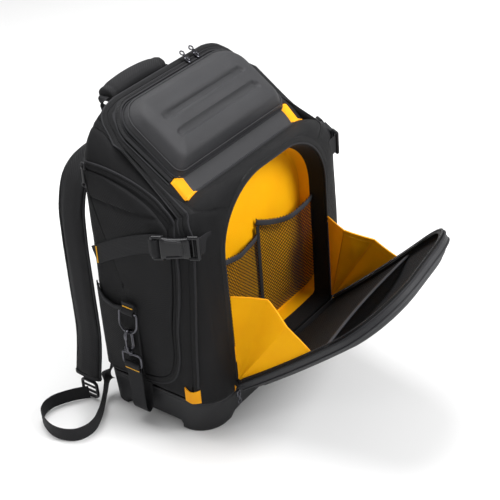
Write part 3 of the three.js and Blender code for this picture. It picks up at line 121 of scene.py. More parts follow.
def flat_pattern(grid):
    """The length along each row and each column up to every point: its place on the uncut cloth."""
    u = np.zeros(grid.shape[:2])
    v = np.zeros(grid.shape[:2])
    u[:, 1:] = np.cumsum(np.linalg.norm(np.diff(grid, axis=1), axis=2), axis=1)
    v[1:] = np.cumsum(np.linalg.norm(np.diff(grid, axis=0), axis=2), axis=0)
    u -= u[:, grid.shape[1] // 2][:, None]
    return np.stack([u, v], axis=-1).reshape(-1, 2)


def surface(grid):
    """One grid as points, faces and places on the flat cloth."""
    return grid.reshape(-1, 3), grid_faces(*grid.shape[:2]), flat_pattern(grid)


def unit(vectors):
    """The vectors at length 1."""
    return vectors / np.maximum(np.linalg.norm(vectors, axis=-1, keepdims=True), 1e-9)


def normals(grid):
    """The direction square to the grid at every point: its row direction crossed with its column's."""
    return unit(np.cross(np.gradient(grid, axis=1), np.gradient(grid, axis=0)))


def plate(face, back):
    """A closed sheet between two grids, with a wall along the four edges."""
    rows, cols = face.shape[:2]
    index = np.arange(rows * cols).reshape(rows, cols)
    edge = np.concatenate([index[0, :-1], index[:-1, -1], index[-1, :0:-1], index[:0:-1, 0]])
    after = np.roll(edge, -1)
    count = rows * cols
    cells = grid_faces(rows, cols)
    walls = np.stack([after, edge, edge + count, after + count], axis=1)
    points = np.concatenate([face.reshape(-1, 3), back.reshape(-1, 3)])
    flat = flat_pattern(face)
    return points, np.concatenate([cells, cells[:, ::-1] + count, walls]), np.concatenate([flat, flat])


def cloth(grid, thick):
    """A closed sheet of the given thickness under a grid, measured against its normals."""
    return plate(grid, grid - normals(grid) * thick)


def loft(rings, ends=True):
    """Rings joined one after another into a skin. A ring's first point closes it, and so do the ends."""
    grid = np.concatenate([rings, rings[:, :1]], axis=1)
    if ends:
        middles = rings[[0, -1]].mean(axis=1, keepdims=True)
        caps = np.repeat(middles, grid.shape[1], axis=1)
        grid = np.concatenate([caps[:1], grid, caps[1:]])
    return surface(grid)


def round_section(wide, thick, count=10, power=1.0):
    """A closed section, wide across and thick outwards. A power under 1 makes it boxier."""
    a = np.linspace(0, 2 * np.pi, count, endpoint=False)
    c, s = np.cos(a), np.sin(a)
    return np.stack([
        wide / 2 * np.sign(c) * np.abs(c) ** power, thick / 2 * np.sign(s) * np.abs(s) ** power,
    ], axis=1)


def frames(path, across):
    """The three directions at every point of a path: along it, across it, and out of it."""
    along = unit(np.gradient(path, axis=0))
    across = np.broadcast_to(np.asarray(across, float), path.shape)
    side = unit(across - np.sum(across * along, axis=1, keepdims=True) * along)
    return along, side, np.cross(side, along)


def sweep(path, across, section, closed=False):
    """A section carried along a path. Both ends are closed, or the end meets the start."""
    path = np.asarray(path, float)
    if closed:
        wrapped = np.concatenate([path[-2:], path, path[:3]])
        along, side, out = (d[2:-2] for d in frames(wrapped, across))
        path = wrapped[2:-2]
    else:
        along, side, out = frames(path, across)
    rings = path[:, None] + section[:, 0, None] * side[:, None] + section[:, 1, None] * out[:, None]
    return loft(rings, ends=not closed)


def tube(path, radius, across=(0.31, 0.17, 0.94), closed=False, count=8):
    """A round cord along a path."""
    return sweep(path, across, round_section(2 * radius, 2 * radius, count), closed)


def curve(points, count):
    """Points along a smooth line through the given ones. Each stretch is a cubic whose slopes agree."""
    p = np.asarray(points, float)
    knots = np.concatenate([[0], np.cumsum(np.linalg.norm(np.diff(p, axis=0), axis=1) ** 0.5)])
    slope = np.gradient(p, knots, axis=0)
    t = np.linspace(0, knots[-1], count)
    i = np.clip(np.searchsorted(knots, t, side="right") - 1, 0, len(p) - 2)
    step = (knots[i + 1] - knots[i])[:, None]
    s = (t - knots[i])[:, None] / step
    return (
        p[i] * (1 + 2 * s) * (1 - s) ** 2 + slope[i] * step * s * (1 - s) ** 2
        + p[i + 1] * s * s * (3 - 2 * s) + slope[i + 1] * step * s * s * (s - 1)
    )


def route(rows, turn, count):
    """A smooth path and the direction across it, both through the rows of two short tables."""
    both = curve(np.concatenate([rows, turn], axis=1), count)
    return both[:, :3], unit(both[:, 3:])


def spaced(path, step):
    """The path again, with points at even distances close to the step."""
    lengths = np.concatenate([[0], np.cumsum(np.linalg.norm(np.diff(path, axis=0), axis=1))])
    count = max(int(round(lengths[-1] / step)), 1) + 1
    at = np.linspace(0, lengths[-1], count)
    return np.stack([np.interp(at, lengths, path[:, k]) for k in range(3)], axis=1)


def repeat(shape, places, side, along, out):
    """Copies of a small shape, one at every place, turned to the three directions there."""
    points, faces, flat = shape
    turned = (
        points[None, :, :1] * side[:, None] + points[None, :, 1:2] * along[:, None]
        + points[None, :, 2:] * out[:, None] + places[:, None]
    )
    shift = (np.arange(len(places)) * len(points))[:, None, None]
    return turned.reshape(-1, 3), (faces[None] + shift).reshape(-1, 4), np.tile(flat, (len(places), 1))


def pebble(wide, long, thick, sides=6):
    """A small rounded bar that lies along its second axis: a stitch or a zip tooth."""
    share = np.array([-1.0, -0.8, 0.8, 1.0])
    size = np.array([0.45, 1.0, 1.0, 0.45])
    a = np.linspace(0, 2 * np.pi, sides, endpoint=False)
    rings = np.stack([
        size[:, None] * wide / 2 * np.cos(a), np.repeat(share[:, None] * long / 2, sides, axis=1),
        size[:, None] * thick / 2 * np.sin(a),
    ], axis=-1)
    return loft(rings)


def stitches(path, out, length=3.4, gap=1.6, thread=0.9, lift=0.25):
    """A row of stitches along a path, raised a little in the direction out."""
    path = spaced(np.asarray(path, float), length + gap)
    out = np.asarray(out, float)
    if out.ndim == 2:
        out = out[np.linspace(0, len(out) - 1, len(path)).round().astype(int)]
    along = unit(np.gradient(path, axis=0))
    out = unit(out - np.sum(out * along, axis=1, keepdims=True) * along)
    return repeat(pebble(thread, length, thread * 0.7), path + out * lift, np.cross(along, out), along, out)


def ripple(points, size, seed, waves=8):
    """Gentle heights between about -1 and 1: waves in fixed directions, added up."""
    random = np.random.default_rng(seed)
    direction = random.normal(size=(waves, 3)) / size
    shift = random.uniform(0, 2 * np.pi, waves)
    return np.sin(points @ direction.T + shift).sum(axis=-1) / waves ** 0.5 * 0.8


def smooth(t):
    """An even step from 0 to 1: 3 t squared minus 2 t cubed, held at both ends."""
    t = np.clip(t, 0, 1)
    return t * t * (3 - 2 * t)


def mix(a, b, t):
    """A blend from a at 0 to b at 1."""
    return a + (b - a) * t


def piece(name, surfaces, material, stands_for=(), body="bag", sharp=38.0):
    """One object from one or more surfaces. Points that meet are joined and the faces turned outwards."""
    surfaces = surfaces if isinstance(surfaces, list) else [surfaces]
    starts = np.cumsum([0] + [len(points) for points, _, _ in surfaces[:-1]])
    points = np.concatenate([s[0] for s in surfaces]) * MM
    faces = np.concatenate([s[1] + start for s, start in zip(surfaces, starts)])
    flat = np.concatenate([s[2] for s in surfaces]) * MM
    mesh = bpy.data.meshes.new(name)
    mesh.from_pydata(points.tolist(), [], faces.tolist())
    corner = np.empty(len(mesh.loops), dtype=np.int32)
    mesh.loops.foreach_get("vertex_index", corner)
    mesh.uv_layers.new(name="cloth").data.foreach_set("uv", flat[corner].ravel())
    shape = bmesh.new()
    shape.from_mesh(mesh)
    bmesh.ops.remove_doubles(shape, verts=shape.verts, dist=2e-6)
    bmesh.ops.recalc_face_normals(shape, faces=shape.faces)
    shape.to_mesh(mesh)
    shape.free()
    mesh.materials.append(material)
    mesh.shade_smooth()
    mesh.set_sharp_from_angle(angle=np.radians(sharp))
    made = bpy.data.objects.new(name, mesh)
    bpy.context.scene.collection.objects.link(made)
    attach(made, body)
    if stands_for:
        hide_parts(*stands_for)
    return made


print("surface functions ready")

# %% [markdown]
# ## Materials
# A material is a sum of simple waves and noises. A wrapped socket adds and multiplies like a number, so
# a weave is written as the formula that it is: the sines of the two thread directions, with one or the
# other on top.

# %% the wrapped socket
class Field:
    """A number that varies over a surface. Python's own signs add the nodes that work it out."""

    def __init__(self, graph, socket):
        self.graph, self.socket = graph, socket

    def math(self, operation, *others):
        """One Math node with this number first."""
        node = self.graph.tree.nodes.new("ShaderNodeMath")
        node.operation = operation
        for at, value in enumerate((self, *others)):
            self.graph.feed(node.inputs[at], value)
        return Field(self.graph, node.outputs[0])

    def __add__(self, other):
        return self.math("ADD", other)

    def __sub__(self, other):
        return self.math("SUBTRACT", other)

    def __mul__(self, other):
        return self.math("MULTIPLY", other)

    def __truediv__(self, other):
        return self.math("DIVIDE", other)

    def __neg__(self):
        return self.math("MULTIPLY", -1.0)

    def __rsub__(self, other):
        return -self + other

    __radd__ = __add__
    __rmul__ = __mul__

    def wave(self):
        """The sine, made positive: a row of humps."""
        return self.math("SINE").math("ABSOLUTE")

    def held(self):
        """The number, kept between 0 and 1."""
        node = self.graph.tree.nodes.new("ShaderNodeClamp")
        self.graph.feed(node.inputs[0], self)
        return Field(self.graph, node.outputs[0])


def linear(hexa):
    """A screen colour such as 1c1c1e as the renderer's red, green, blue and alpha."""
    part = np.array([int(hexa[k:k + 2], 16) for k in (0, 2, 4)]) / 255
    value = np.where(part < 0.04045, part / 12.92, ((part + 0.055) / 1.055) ** 2.4)
    return (*value.tolist(), 1.0)


class Graph:
    """The nodes of one material, round the standard shader."""

    def __init__(self, name, **constants):
        self.material = bpy.data.materials.new(name)
        self.material.use_nodes = True
        self.tree = self.material.node_tree
        self.shader = self.tree.nodes["Principled BSDF"]
        for socket, value in constants.items():
            self.shader.inputs[socket.replace("_", " ")].default_value = value

    def feed(self, socket, value):
        """Links a field or a socket to an input, or types a plain value into it."""
        if isinstance(value, Field):
            value = value.socket
        if isinstance(value, bpy.types.NodeSocket):
            self.tree.links.new(value, socket)
        else:
            socket.default_value = value

    def node(self, kind, settings, sockets, out=0):
        """A node of any kind, with its settings and socket values. Gives back one output."""
        made = self.tree.nodes.new(kind)
        for name, value in settings.items():
            setattr(made, name, value)
        for name, value in sockets.items():
            self.feed(made.inputs[name], value)
        return made.outputs[out]

    def place(self, flat=True):
        """Where a point is, in metres: on the flat cloth, or in the object."""
        if flat:
            return self.node("ShaderNodeUVMap", {"uv_map": "cloth"}, {})
        return self.node("ShaderNodeTexCoord", {}, {}, "Object")

    def parts(self, vector):
        """The three parts of a place, as fields."""
        split = self.tree.nodes.new("ShaderNodeSeparateXYZ")
        self.feed(split.inputs[0], vector)
        return [Field(self, output) for output in split.outputs]

    def noise(self, vector, size_mm, detail=3.0, rough=0.55):
        """Soft clouds between 0 and 1, with the given size in millimetres."""
        sockets = {"Vector": vector, "Scale": 1000.0 / size_mm, "Detail": detail, "Roughness": rough}
        return Field(self, self.node("ShaderNodeTexNoise", {}, sockets))

    def colour(self, a, b, share):
        """A blend of two colours."""
        made = self.tree.nodes.new("ShaderNodeMix")
        made.data_type = "RGBA"
        inputs = {socket.identifier: socket for socket in made.inputs}
        for name, value in (("Factor_Float", share), ("A_Color", a), ("B_Color", b)):
            self.feed(inputs[name], value)
        return next(s for s in made.outputs if s.identifier == "Result_Color")

    def finish(self, colour, roughness, height, bump_mm, alpha=None):
        """Feeds colour, roughness and bump to the shader, and gives back the material."""
        bump = self.node("ShaderNodeBump", {}, {"Height": height, "Distance": bump_mm * MM, "Strength": 1.0})
        self.feed(self.shader.inputs["Base Color"], colour)
        self.feed(self.shader.inputs["Roughness"], roughness)
        self.feed(self.shader.inputs["Normal"], bump)
        if alpha is not None:
            self.feed(self.shader.inputs["Alpha"], alpha)
        return self.material


print("socket type ready")


# %% [markdown]
# Four kinds of surface cover the whole bag. Cloth is a weave, webbing is ribbed, net has open holes,
# and moulded parts and metal have a fine grain. Each kind is one function with a few values to vary.

# %% woven, ribbed and net materials
def woven(name, dark, light, pitch=1.4, bump=0.25, rough=0.74, sheen=0.02, flat=True, shine=0.2):
    """Plain weave: the humps of the warp where both thread waves agree in sign, else of the weft."""
    g = Graph(name, Sheen_Weight=sheen, Sheen_Roughness=0.4, Specular_IOR_Level=shine)
    where = g.place(flat)
    u, v, w = g.parts(where)
    if not flat:
        u, v = u + w * 0.7, v + w * 0.7
    beat = 1000 * np.pi / pitch
    warp, weft = (u * beat).math("SINE"), (v * beat).math("SINE")
    top = (warp * weft).math("GREATER_THAN", 0.0)
    height = top * warp.math("ABSOLUTE") + (1 - top) * weft.math("ABSOLUTE")
    dust = g.noise(g.place(False), 45)
    fibre = g.noise(g.place(False), 1.1, 2.0)
    share = (height * 0.45 + dust * 0.55 + fibre * 0.3 - 0.15).held()
    return g.finish(g.colour(linear(dark), linear(light), share), rough + dust * 0.1 - 0.05, height, bump)


def ribbed(name, dark, light, pitch=2.2, bump=0.35, rough=0.7):
    """Webbing: ribs that run along it, crossed by a fine even weave."""
    g = Graph(name, Sheen_Weight=0.02, Specular_IOR_Level=0.22)
    u, v, _ = g.parts(g.place())
    ribs = (u * (1000 * np.pi / pitch)).wave()
    cross = (v * (1000 * np.pi / 1.6)).wave()
    worn = g.noise(g.place(False), 30)
    height = ribs * 0.7 + cross * 0.3
    share = (height * 0.5 + worn * 0.6 - 0.1).held()
    return g.finish(g.colour(linear(dark), linear(light), share), rough + worn * 0.12 - 0.06, height, bump)


def netting(name, dark, light, pitch=6.2, thread=0.34):
    """Net: threads along both diagonals, with open holes between them."""
    g = Graph(name, Sheen_Weight=0.02, Specular_IOR_Level=0.25)
    u, v, _ = g.parts(g.place())
    beat = 1000 * np.pi / pitch
    first, second = ((u + v) * beat).wave(), ((u - v) * beat).wave()
    nearest = first.math("MINIMUM", second)
    solid = nearest.math("LESS_THAN", thread)
    cloud = g.noise(g.place(False), 30)
    colour = g.colour(linear(dark), linear(light), (cloud * 1.2 - 0.2).held())
    return g.finish(colour, 0.8 + cloud * 0.1, 1 - nearest, 0.3, alpha=solid)


def grained(name, dark, light, grain=1.2, bump=0.12, rough=0.5, metallic=0.0, wear=0.3, shine=0.32):
    """Moulded plastic, rubber or painted metal: fine grain, cloudy shine and paler edges."""
    g = Graph(name, Metallic=metallic, Specular_IOR_Level=shine)
    where = g.place(False)
    fine = g.noise(where, grain, 4.0)
    cloud = g.noise(where, 35)
    edge = Field(g, g.node("ShaderNodeNewGeometry", {}, {}, "Pointiness"))
    worn = ((edge - 0.52) * 9).held() * wear
    share = (cloud * 0.6 + fine * 0.3 + worn - 0.1).held()
    return g.finish(g.colour(linear(dark), linear(light), share), rough + cloud * 0.16 - 0.08, fine, bump)


body_cloth = woven("body_cloth", "070708", "161618")
panel_cloth = woven("panel_cloth", "09090a", "19191b", pitch=1.8)
soft_cloth = woven("soft_cloth", "0a0a0b", "1a1a1c", pitch=1.0, bump=0.15)
moulded_cloth = woven("moulded_cloth", "1a1a1c", "303033", pitch=1.2, bump=0.12, rough=0.56, shine=0.4)
pad_cloth = woven("pad_cloth", "0f0f10", "242426", pitch=2.4, bump=0.4, flat=False)
yellow_cloth = woven("yellow_cloth", "f59a00", "ffc107", pitch=1.0, bump=0.12, rough=0.7, shine=0.1)
yellow_tape = ribbed("yellow_tape", "e08a00", "f2ac08", pitch=1.6, bump=0.2)
webbing = ribbed("harness_web", "0b0b0c", "1f1f22")
binding = ribbed("binding", "121214", "2b2b2e", pitch=1.2, bump=0.2)
grey_binding = ribbed("grey_binding", "222225", "444549", pitch=1.2, bump=0.2)
black_tape = ribbed("black_tape", "080809", "19191b", pitch=1.0, bump=0.2)
net = netting("net", "060606", "161618")
fine_net = netting("fine_net", "0a0a0b", "1c1c1e", pitch=4.2, thread=0.55)
boot_rubber = grained("boot_rubber", "101012", "212124", grain=1.6, bump=0.1, rough=0.55)
plastic = grained("hard_plastic", "0c0c0d", "252528", rough=0.34)
black_metal = grained("dark_metal", "2a2a2e", "74747a", grain=0.6, bump=0.03, rough=0.3, metallic=1.0)
steel = grained("bright_steel", "7c7c82", "c9c9cf", grain=0.5, bump=0.03, rough=0.28, metallic=1.0)
thread = grained("thread", "19191b", "3c3c40", grain=0.8, rough=0.7)
yellow_thread = grained("yellow_thread", "e39c00", "ffc93a", grain=0.8, rough=0.7)
print(f"{len(bpy.data.materials)} materials")

# %% [markdown]
# ## The bag's form
# The body is one family of sections. A section at any depth has walls, rounded shoulders and a top, and
# the first few shrink to the arch of the front opening. Two tables give the top line and the side's
# lean as shares of the bag's own height, depth and width.

# %% the form in numbers
bag_wide, bag_deep, bag_high = 386.0, 216.0, 502.0
back_y, front_y = 98.0, -118.0
rim_half, rim_foot, rim_top, rim_round = 134.0, 77.0, 412.0, 104.0
front_round, back_round = 46.0, 25.0
corner_y = front_y + front_round
lid_front_y, lid_back_y = front_y + 0.333 * bag_deep, front_y + 0.833 * bag_deep
top_line = np.array([  # depth share, height share
    [0, 0.8207], [0.106, 0.811], [0.222, 0.791], [0.241, 0.787], [0.333, 0.829], [0.833, 0.986],
    [0.917, 1], [1, 1],
])
side_line = np.array([[0, 1], [0.14, 1], [0.458, 0.984], [0.757, 0.953], [1.04, 0.922]])  # height, width
opening = np.array([  # depth share, height share of the line along which the bag unzips
    [0.167, 0.1], [0.134, 0.404], [0.108, 0.65], [0.112, 0.715], [0.181, 0.767], [0.306, 0.801],
    [0.426, 0.835], [0.565, 0.87], [0.671, 0.9], [0.801, 0.952], [0.889, 0.982], [0.94, 1.03],
])
side_zip_line = np.array([  # depth share, height share of the side compartment's zip
    [0.963, 0.866], [0.806, 0.862], [0.653, 0.845], [0.505, 0.819], [0.347, 0.779], [0.236, 0.729],
    [0.2, 0.67], [0.197, 0.61], [0.213, 0.504], [0.25, 0.392], [0.269, 0.275], [0.324, 0.212],
    [0.42, 0.18], [0.6, 0.164], [0.963, 0.16],
])


def top_z(y):
    return bag_high * np.interp((y - front_y) / bag_deep, *top_line.T)


def side_x(z):
    return bag_wide / 2 * np.interp(z / bag_high, *side_line.T)


def opening_y(z):
    return front_y + bag_deep * np.interp(z / bag_high, opening[:, 1], opening[:, 0])


def section(y, grow):
    """Sizes of the section at a depth: its shoulders' width and drop, its inset, top and front share."""
    t = np.clip((y - corner_y) / (lid_back_y - corner_y), 0, 1)
    radius = back_round + grow
    past = np.clip((y - back_y + back_round) / radius, 0, 1)
    inset = radius * (1 - np.sqrt(1 - past ** 2))
    share = np.sqrt(np.clip(1 - (np.maximum(corner_y - y, 0) / front_round) ** 2, 0, 1))
    wide, drop = mix(66, 80, t) + grow, mix(58, 72, t) + grow
    return wide, drop, inset, top_z(np.maximum(y, front_y)) + grow - inset, share


def skin(y, part, f, grow=0.0, foot=27.0):
    """A point of the right half of the skin. Part is 0 floor, 1 corner, 2 wall, 3 shoulder or 4 top."""
    wide, drop, inset, top, share = section(y, grow)
    corner = 10.0
    a = f * np.pi / 2
    wall_foot, wall_top = foot - grow + corner, top - drop
    z = np.select([part == 0, part == 1, part == 2, part == 3], [
        foot - grow + 0 * y * f, foot - grow + corner * (1 - np.cos(a)), mix(wall_foot, wall_top, f),
        wall_top + drop * np.sin(a),
    ], top + 0 * f)
    side = side_x(z) + grow - inset
    x = np.select([part == 0, part == 1, part == 2, part == 3], [
        f * (side - corner), side - corner * (1 - np.sin(a)), side, side - wide * (1 - np.cos(a)),
    ], (side - wide) * (1 - f))
    half, round_, low, high = rim_half + grow, rim_round + grow, rim_foot - grow, rim_top + grow
    rim_z = np.select([part == 0, part == 1, part == 2, part == 3], [
        low + 0 * f, low + corner * (1 - np.cos(a)), mix(low + corner, high - round_, f),
        high - round_ * (1 - np.sin(a)),
    ], high + 0 * f)
    rim_x = np.select([part == 0, part == 1, part == 2, part == 3], [
        f * (half - corner), half - corner * (1 - np.sin(a)), half + 0 * f, half - round_ * (1 - np.cos(a)),
    ], (half - round_) * (1 - f))
    return mix(rim_x, x, share), mix(rim_z, z, share)


def skin_x(y, z, grow=0.0):
    """Half the skin's width at a depth and height."""
    wide, drop, inset, top, share = section(y, grow)
    rise = np.clip((z - top + drop) / drop, 0, 1)
    full = side_x(z) + grow - inset - wide * (1 - np.sqrt(1 - rise ** 2))
    round_ = rim_round + grow
    rim_rise = np.clip((z - rim_top - grow + round_) / round_, 0, 1)
    rim = rim_half + grow - round_ * (1 - np.sqrt(1 - rim_rise ** 2))
    return mix(rim, full, share)


def on_side(y, z, out, sign):
    """Points at a height over the skin of one side."""
    return np.stack([sign * (skin_x(y, z) + out), y + 0 * z, z + 0 * y], axis=-1)


def columns(counts):
    """The part and share of each column of a section, from its floor's middle to its top's middle."""
    part = np.repeat(np.arange(5), counts)
    share = np.concatenate([np.arange(n) / n for n in counts])
    return np.append(part, 4), np.append(share, 1.0)


depth_steps = np.concatenate([
    corner_y - front_round * np.sin(np.linspace(np.pi / 2, 0, 40)),
    np.linspace(corner_y, back_y - back_round, 70)[1:],
    back_y - back_round + back_round * np.sin(np.linspace(0, np.pi / 2, 14))[1:],
])


def depth_at(q):
    """The depth at a share of the way along the skin, from the rim to the back."""
    return np.interp(q * (len(depth_steps) - 1), np.arange(len(depth_steps)), depth_steps)


def split_share(part, f):
    """How far along the skin each column meets the opening line."""
    q = np.linspace(0, 1, 400)[:, None]
    y = depth_at(q)
    _, z = skin(y, part, f)
    past = (y - opening_y(z)) > 0
    past &= np.cumsum(past[::-1], axis=0)[::-1] == np.arange(400, 0, -1)[:, None]
    first = np.argmax(past, axis=0)
    first = np.where(past.any(axis=0), first, 399)
    return q[first, 0]


def both_sides(half):
    """A grid's right half joined to its mirror image, from left to right over the top."""
    left = half[:, :-1] * np.array([-1.0, 1.0, 1.0])
    return np.concatenate([left, half[:, ::-1]], axis=1)


front_part, front_f = columns([10, 6, 46, 26, 26])
front_split = split_share(front_part, front_f)
rows = np.linspace(0, 1, 60)[:, None]
y = depth_at(rows * (front_split - 0.0015))
x, z = skin(y, front_part, front_f)
front_half = np.stack([x, y, np.maximum(z, 69.2)], axis=-1)
on_walls = np.minimum(front_part >= 2, 1) * smooth((400 - front_half[..., 2]) / 60)
puff = 2.2 * np.sin(np.pi * rows) ** 0.6 * on_walls
front_half += unit(front_half - [0, 0, 250]) * np.array([1, 0, 0.2]) * puff[..., None]
front_grid = both_sides(front_half)
upright = front_grid * [1, 1, 0.3]
folds = 1.7 * ripple(upright, 26, 3) + 0.8 * ripple(upright, 11, 4)
under_strip = smooth((front_grid[..., 2] - 370) / 20) * smooth((front_grid[..., 1] + 100) / 18)
front_grid -= normals(front_grid) * (folds * (1 - under_strip) * np.sin(np.pi * rows) ** 0.7)[..., None]
print(f"front shell {front_grid.shape}")

main_part, main_f = columns([8, 4, 60, 30, 30])
main_split = split_share(main_part, main_f)
rows = np.linspace(0, 1, 110)[:, None]
y = depth_at(mix(main_split + 0.0015, 1.0, rows))
x, z = skin(y, main_part, main_f, foot=66.8)
main_half = np.stack([x, y, z], axis=-1)
shrink = mix(1, 0, np.linspace(0, 1, 12)[1:])
back_face = main_half[-1] * np.stack([shrink, np.ones(11), np.ones(11)], axis=-1)[:, None]
main_grid = both_sides(np.concatenate([main_half, back_face]))
folds = 0.9 * ripple(main_grid * [1, 1, 0.5], 24, 6) + 0.4 * ripple(main_grid, 12, 7)
main_rows = np.linspace(0, 1, len(main_grid))[:, None]
calm = smooth(main_rows * 6) * smooth((0.8 - main_rows) * 8) * smooth((410 - main_grid[..., 2]) / 30)
main_grid -= normals(main_grid) * (np.abs(folds) * calm)[..., None]
print(f"main shell {main_grid.shape}")

# %% [markdown]
# Each shell is a padded wall of even thickness, so it is drawn as one grid that is thickened. A plain
# box would lose the soft folds and the line where the two shells meet.

# %% the two shells
front_shell = piece("front_cloth", cloth(front_grid, -2.4), body_cloth, ["front_shell"])
main_shell = piece("main_cloth", cloth(main_grid, -2.4), body_cloth, ["main_shell"])
print(f"shells of {len(front_shell.data.vertices)} and {len(main_shell.data.vertices)} points")

# %% [markdown]
# ## The boot
# The bag stands in a moulded rubber tray. Its outline is a rectangle with rounder corners in front. Its
# foot is cut back between the four corners, so only the corners touch the ground.

# %% boot
def boot_ring(z, inset, foot_inset=0.0, lift=0.0, count=24):
    """The boot's outline at a height. Between its corners the foot is set back and lifted."""
    t = np.clip(z / 66, 0, 1)
    half = mix(188, 193, t) - inset
    front, back = mix(-99.5, -116.5, t) + inset, 98 - inset
    corners = np.array([  # side, end, radius, first angle
        [1, back, 25 - inset, 0], [-1, back, 25 - inset, 90],
        [-1, front, 46 - inset, 180], [1, front, 46 - inset, 270],
    ])
    a = np.radians(corners[:, 3:] + np.linspace(0, 90, 13))
    middle_x = corners[:, :1] * (half - corners[:, 2:3])
    middle_y = corners[:, 1:2] - np.sign(corners[:, 1:2] - front - 1) * corners[:, 2:3]
    x = middle_x + corners[:, 2:3] * np.cos(a)
    y = middle_y + corners[:, 2:3] * np.sin(a)
    share = np.linspace(0, 1, count + 2)[1:-1]
    x = np.concatenate([x, mix(x[:, -1:], np.roll(x[:, :1], -1, axis=0), share)], axis=1)
    y = np.concatenate([y, mix(y[:, -1:], np.roll(y[:, :1], -1, axis=0), share)], axis=1)
    mask = np.concatenate([np.zeros(13), smooth((share - 0.04) / 0.1) * smooth((0.96 - share) / 0.1)])
    square = np.array([[0, -1], [1, 0], [0, 1], [-1, 0]])[:, None] * mask[:, None]
    cut_x, cut_y = foot_inset * square[..., 0], foot_inset * square[..., 1]
    return np.stack([x + cut_x, y + cut_y, z + lift * mask + 0 * x], axis=-1).reshape(-1, 3)


boot_rows = [  # height, inset, foot inset, lift
    (0, 1.8, 20, 3), (0.5, 0.5, 18, 3), (2, 0, 15, 3), (8, 0, 7, 1), (14, 0, 1, 0), (16, 0, 0, 0),
    (22, 0, 0, 0), (36, 0, 0, 0), (54, 0, 0, 0), (61, 0, 0, 0), (62, 0.6, 0, 0), (63, 0, 0, 0),
    (65.2, 0.1, 0, 0),
    (66, 0.8, 0, 0), (66, 2.4, 0, 0), (65, 3, 0, 0), (30, 3, 0, 0),
]
boot_rings = np.array([boot_ring(*row) for row in boot_rows])
boot = piece("boot", loft(boot_rings), boot_rubber, ["base_boot"])
print(f"boot of {len(boot.data.vertices)} points")

# %% [markdown]
# ## The lid
# The lid is a moulded dome over a rounded rectangle on the slanting top. Rings drawn in from its
# outline carry the dome's height, and two grooves with round ends are pressed into it afterwards.

# %% lid functions
lid_wide, lid_long, lid_high, lid_inset = 268.0, 137.0, 35.0, 27.0
lid_slope = np.arctan2(top_z(lid_back_y) - top_z(lid_front_y), lid_back_y - lid_front_y)
lid_dome = curve([  # inset share, height share, unused
    [0, 0, 0], [0.02, 0.08, 0], [0.12, 0.27, 0], [0.3, 0.52, 0], [0.62, 0.84, 0], [1, 0.955, 0],
    [1.7, 0.99, 0], [2.44, 1, 0],
], 40)[:, :2]


def lid_point(x, along, out):
    """A point over the slanting top: across, up the slope from the lid's front edge, and out of it."""
    return np.stack([
        x, lid_front_y + along * np.cos(lid_slope) - out * np.sin(lid_slope),
        top_z(lid_front_y) + along * np.sin(lid_slope) + out * np.cos(lid_slope),
    ], axis=-1)


def lid_outline(inset, corner_points=14, side_points=30):
    """The lid's outline drawn in by an inset, as arrays across and up the slope."""
    half, near, far = lid_wide / 2 - inset, inset, lid_long - inset
    wide_round, tight_round = np.maximum(42 - inset * 0.6, 1.2), np.maximum(16 - inset * 0.2, 1.2)
    limit = max(min(half, (far - near) / 2) - 0.05, 0.1)
    wide_round, tight_round = min(wide_round, limit), min(tight_round, limit)
    xs, alongs = [], []
    for side, end, radius, start in (
        (1, far, wide_round, 0), (-1, far, wide_round, 90),
        (-1, near, tight_round, 180), (1, near, tight_round, 270),
    ):
        a = np.radians(start + np.linspace(0, 90, corner_points))
        xs.append(side * (half - radius) + radius * np.cos(a))
        alongs.append(end - np.sign(end - lid_long / 2) * radius + radius * np.sin(a))
    x, along = [], []
    for k in range(4):
        share = np.linspace(0, 1, side_points + 2)[1:-1]
        after = (k + 1) % 4
        x += [xs[k], mix(xs[k][-1], xs[after][0], share)]
        along += [alongs[k], mix(alongs[k][-1], alongs[after][0], share)]
    return np.concatenate(x), np.concatenate(along)


def groove(x, along):
    """How deep the lid's two pressed grooves are at a place: 0 outside them, 1 in their middle."""
    past = np.maximum(np.abs(x) - 88, 0)
    return sum(np.exp(-(((along - middle) ** 2 + past ** 2) / 6.2 ** 2) ** 2.4) for middle in (48, 80))


def lid_ring(inset, out):
    x, along = lid_outline(inset)
    sag = 1.1 * np.sin(np.pi * np.clip(along / lid_long, 0, 1)) * np.cos(x / 90)
    return lid_point(x, along, out - 5.0 * groove(x, along) * (inset > 20) + sag * (inset > 4))


print("lid functions ready")


# %% [markdown]
# The lid could be a box with a bevel, but its walls lean and its top is crowned. So its rings follow the
# dome's own curve. A second set of rings closes it below, and two cords follow its edge.

# %% lid
lid_rings = [lid_ring(inset * lid_inset, 0.6 + out * (lid_high - 2.2)) for inset, out in lid_dome]
lid_under = [lid_ring(inset, out) for inset, out in ((4.0, 0.6), (3.2, 6.0), (9.0, 18.0), (30.0, 26.0))]
lid = piece("lid", loft(np.array(lid_under[::-1] + lid_rings)), moulded_cloth, ["top_lid"])


def lid_cord(name, inset, out, radius, material):
    """A round cord that follows the lid's outline."""
    x, along = lid_outline(inset, 14, 40)
    return piece(name, tube(lid_point(x, along, out), radius, (0, 0, 1), closed=True), material)


lid_cord("lid_piping", -0.6, 2.4, 1.9, binding)
lid_cord("lid_welt", 3.4, 12.8, 1.0, moulded_cloth)
print(f"lid of {len(lid.data.vertices)} points")


# %% [markdown]
# A strip of cloth in front of the lid carries it. Its grid lies over the skin with a gentle crown, and a
# yellow tab is folded over each end.

# %% the strip that the lid turns on, with its yellow ends
def on_top(x, y, out):
    """A point over the top of the skin, at a place seen from above."""
    wide, drop, inset, top, _ = section(y, 0.0)
    side = side_x(top) - inset
    past = np.clip((np.abs(x) - side + wide) / wide, 0, 1)
    z = top - drop + drop * np.sqrt(1 - past ** 2)
    return np.stack([x + 0 * z, y + 0 * z, z + out], axis=-1)


